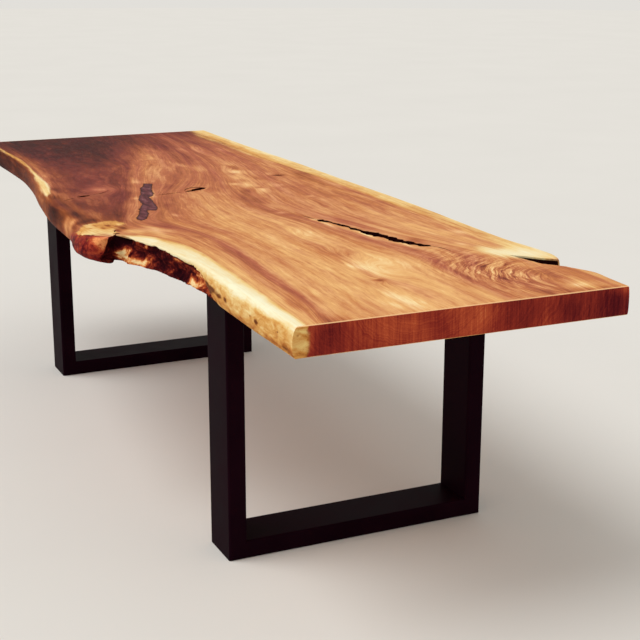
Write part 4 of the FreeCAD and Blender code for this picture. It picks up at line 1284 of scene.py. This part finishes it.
def paper_material(colour):
    """Matt backdrop paper with the faintest drift of tone, clear when seen from below."""
    g = Graph(bpy.data.materials.new("studio_floor"))
    drift = g.noise(g.place(), 1.3, 3)
    shade = g.mix(drift, (*(colour * 0.97), 1), (*(colour * 1.02), 1))
    paper = g.node("ShaderNodeBsdfDiffuse", {"Color": shade}).outputs[0]
    clear = g.node("ShaderNodeBsdfTransparent").outputs[0]
    back = g.node("ShaderNodeNewGeometry").outputs["Backfacing"]
    return g.surface(g.node("ShaderNodeMixShader", {0: back, 1: paper, 2: clear}))


def studio_world(colour, level):
    """Even light all round, half white at a level and half the backdrop's colour. Cameras, glossy
    faces and glass see the backdrop's colour alone."""
    g = Graph(bpy.data.worlds.new("studio"), "ShaderNodeOutputWorld")
    light = g.node("ShaderNodeBackground", {"Color": (1, 1, 1, 1), "Strength": level}).outputs[0]
    seen = g.node("ShaderNodeBackground", {"Color": (*colour, 1)}).outputs[0]
    path = g.node("ShaderNodeLightPath").outputs
    share = BACKDROP_SHARE
    for ray in ("Is Camera Ray", "Is Glossy Ray", "Is Transmission Ray"):
        share = g.math("MAXIMUM", path[ray], share)
    return g.surface(g.node("ShaderNodeMixShader", {0: share, 1: light, 2: seen}))


def dress(thing, material):
    """Gives an object one material."""
    thing.data.materials.clear()
    thing.data.materials.append(material)


def sized(name, default, note):
    """A length in metres that a user may change."""
    return bpy.props.FloatProperty(
        name=name, description=note, default=default, min=0, unit="LENGTH", precision=4
    )


class TABLE_PG_board(bpy.types.PropertyGroup):
    """Sizes of the board."""

    length: sized("Length", BOARD_HIGH[0] - BOARD_LOW[0], "Board, end to end")
    width: sized("Width", 1.026, "Board, across its widest points")
    thickness: sized("Thickness", BOARD_HIGH[2] - BOARD_LOW[2], "Board thickness")
    top_height: sized("Top height", BOARD_HIGH[2], "Floor to the top of the board")
    edge_round: sized("Edge roll", 0.014, "How far the natural edge rolls in at the top face")
    edge_tuck: sized("Edge tuck", 0.007, "How far the natural edge tucks in at the bottom face")
    pocket_deep: sized("Pocket depth", 0.012, "How far the bark pocket is scooped out")
    end_arris: sized("End arris", 0.002, "Small bevel round the sawn ends")
    crack_deep: sized("Long crack depth", 0.030, "Depth of the long crack")
    check_deep: sized("Check depth", 0.014, "Depth of the short cracks")
    hairline_deep: sized("Hairline depth", 0.004, "Depth of the hairline checks")
    insert_width: sized("Insert bore", 0.012, "Diameter of the bores for the threaded inserts")
    bore_deep: sized("Bore depth", 0.027, "Depth of the bores for the threaded inserts")
    top_spacing: sized("Top spacing", 0.008, "Distance between the top face's points")


class TABLE_PG_stage(bpy.types.PropertyGroup):
    """The studio: floor colour and light levels."""

    floor_colour: bpy.props.FloatVectorProperty(
        name="Floor colour", description="Colour of the floor and backdrop", subtype="COLOR",
        default=(0.76, 0.74, 0.70), min=0, max=1,
    )
    world_level: bpy.props.FloatProperty(
        name="Sky level", description="Strength of the white in the even light", default=0.45, min=0
    )
    key_level: bpy.props.FloatProperty(
        name="Key light", description="Strength of the large soft light", default=1.56, min=0
    )
    lens: bpy.props.FloatProperty(
        name="Lens", description="Focal length of the camera", default=75.497, min=1,
        unit="CAMERA", subtype="DISTANCE_CAMERA",
    )


class TABLE_OT_board(bpy.types.Operator):
    """Make the live-edge board"""

    bl_idname = "table.board"
    bl_label = "Live-edge board"

    def execute(self, context):
        board = context.scene.table_board
        thing = make_board(board)
        dress(thing, walnut_material(board))
        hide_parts("slab_top")
        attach(thing, "root")
        return {"FINISHED"}


class TABLE_OT_resin(bpy.types.Operator):
    """Make the resin that fills the hole in the board"""

    bl_idname = "table.resin"
    bl_label = "Resin fill"

    def execute(self, context):
        thing = make_resin(context.scene.table_board)
        dress(thing, resin_material())
        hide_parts("void_fill")
        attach(thing, "root")
        return {"FINISHED"}


class TABLE_OT_frames(bpy.types.Operator):
    """Powder coat the two welded frames"""

    bl_idname = "table.frames"
    bl_label = "Frames"

    def execute(self, context):
        coat = powder_coat_material()
        for name in FRAMES:
            for part in TUBES:
                dress(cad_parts[f"{name}_{part}"], coat)
        return {"FINISHED"}


class TABLE_OT_fasteners(bpy.types.Operator):
    """Finish the bolts, washers and threaded inserts"""

    bl_idname = "table.fasteners"
    bl_label = "Fasteners"

    def execute(self, context):
        oxide = steel_material("black_oxide_steel", (34, 33, 35), (54, 52, 54), 0.38)
        zinc = steel_material("zinc_steel", (168, 172, 178), (206, 208, 212), 0.28)
        for name in FRAMES:
            dress(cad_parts[f"{name}_bolts"], oxide)
            dress(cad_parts[f"{name}_washers"], zinc)
            dress(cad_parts[f"{name}_inserts"], zinc)
        return {"FINISHED"}


FLOOR_RADIUS, FLOOR_STEPS = 30, 96
BACKDROP_SHARE = 0.5                # how much of the even light has the backdrop's colour
KEY_FROM = (-0.12, -0.50, 0.86)     # the direction that the large soft light comes from
KEY_ANGLE = 38                      # how wide it is, in degrees
CAMERA_PLACE = (3.8061, -1.3856, 1.5008)
CAMERA_TURN = (155.194, -15.62, 0.14)   # yaw, pitch and roll in degrees
CAMERA_CLIP = (0.05, 200)
SENSOR_WIDTH = 36                   # millimetres


def camera_pose():
    """The camera's axes: right, up and backwards, from its yaw, pitch and roll, and its place."""
    yaw, pitch, roll = map(math.radians, CAMERA_TURN)
    level = math.cos(pitch)
    ahead = Vector((math.cos(yaw) * level, math.sin(yaw) * level, math.sin(pitch)))
    right = ahead.cross(Vector((0, 0, 1))).normalized()
    up = right.cross(ahead)
    turned_right = math.cos(roll) * right + math.sin(roll) * up
    turned_up = math.cos(roll) * up - math.sin(roll) * right
    pose = Matrix((turned_right, turned_up, -ahead)).transposed().to_4x4()
    pose.translation = CAMERA_PLACE
    return pose


class TABLE_OT_stage(bpy.types.Operator):
    """Set up the floor, the lights and the camera"""

    bl_idname = "table.stage"
    bl_label = "Studio stage"

    def execute(self, context):
        scene, stage = context.scene, context.scene.table_stage
        colour = np.array(stage.floor_colour)
        shell = Shell()
        rim = shell.add_points(at_height(circle_points(FLOOR_STEPS, FLOOR_RADIUS), 0))
        shell.add_tris(np.column_stack([np.full(FLOOR_STEPS - 2, rim[0]), rim[1:-1], rim[2:]]))
        floor = shell.build("floor")
        floor.data.materials.append(paper_material(colour))

        scene.view_settings.view_transform = "Standard"
        scene.world = studio_world(colour, stage.world_level)
        lamp = bpy.data.lights.new("key", "SUN")
        lamp.energy, lamp.angle = stage.key_level, math.radians(KEY_ANGLE)
        key = bpy.data.objects.new("key", lamp)
        key.rotation_euler = Vector(KEY_FROM).to_track_quat("Z", "Y").to_euler()
        scene.collection.objects.link(key)

        camera = bpy.data.cameras.new("camera")
        camera.lens, camera.sensor_width = stage.lens, SENSOR_WIDTH
        camera.clip_start, camera.clip_end = CAMERA_CLIP
        thing = bpy.data.objects.new("camera", camera)
        thing.matrix_world = camera_pose()
        scene.collection.objects.link(thing)
        scene.camera = thing
        return {"FINISHED"}


class TABLE_PT_panel(bpy.types.Panel):
    """The table's pieces in the sidebar"""

    bl_idname = "TABLE_PT_panel"
    bl_label = "Live-edge table"
    bl_space_type = "VIEW_3D"
    bl_region_type = "UI"
    bl_category = "Table"

    def draw(self, context):
        layout = self.layout
        for group in (context.scene.table_board, context.scene.table_stage):
            box = layout.box()
            for key in group.bl_rna.properties.keys():
                if key not in ("rna_type", "name"):
                    box.prop(group, key)
        for operator in OPERATORS:
            layout.operator(operator.bl_idname)


OPERATORS = (TABLE_OT_board, TABLE_OT_resin, TABLE_OT_frames, TABLE_OT_fasteners, TABLE_OT_stage)
CLASSES = (TABLE_PG_board, TABLE_PG_stage, *OPERATORS, TABLE_PT_panel)


def register():
    for cls in CLASSES:
        bpy.utils.register_class(cls)
    bpy.types.Scene.table_board = bpy.props.PointerProperty(type=TABLE_PG_board)
    bpy.types.Scene.table_stage = bpy.props.PointerProperty(type=TABLE_PG_stage)


def unregister():
    del bpy.types.Scene.table_stage
    del bpy.types.Scene.table_board
    for cls in reversed(CLASSES):
        bpy.utils.unregister_class(cls)


def main():
    register()
    bpy.ops.table.board()
    bpy.ops.table.resin()
    bpy.ops.table.frames()
    bpy.ops.table.fasteners()
    bpy.ops.table.stage()


if __name__ == "__main__":
    main()
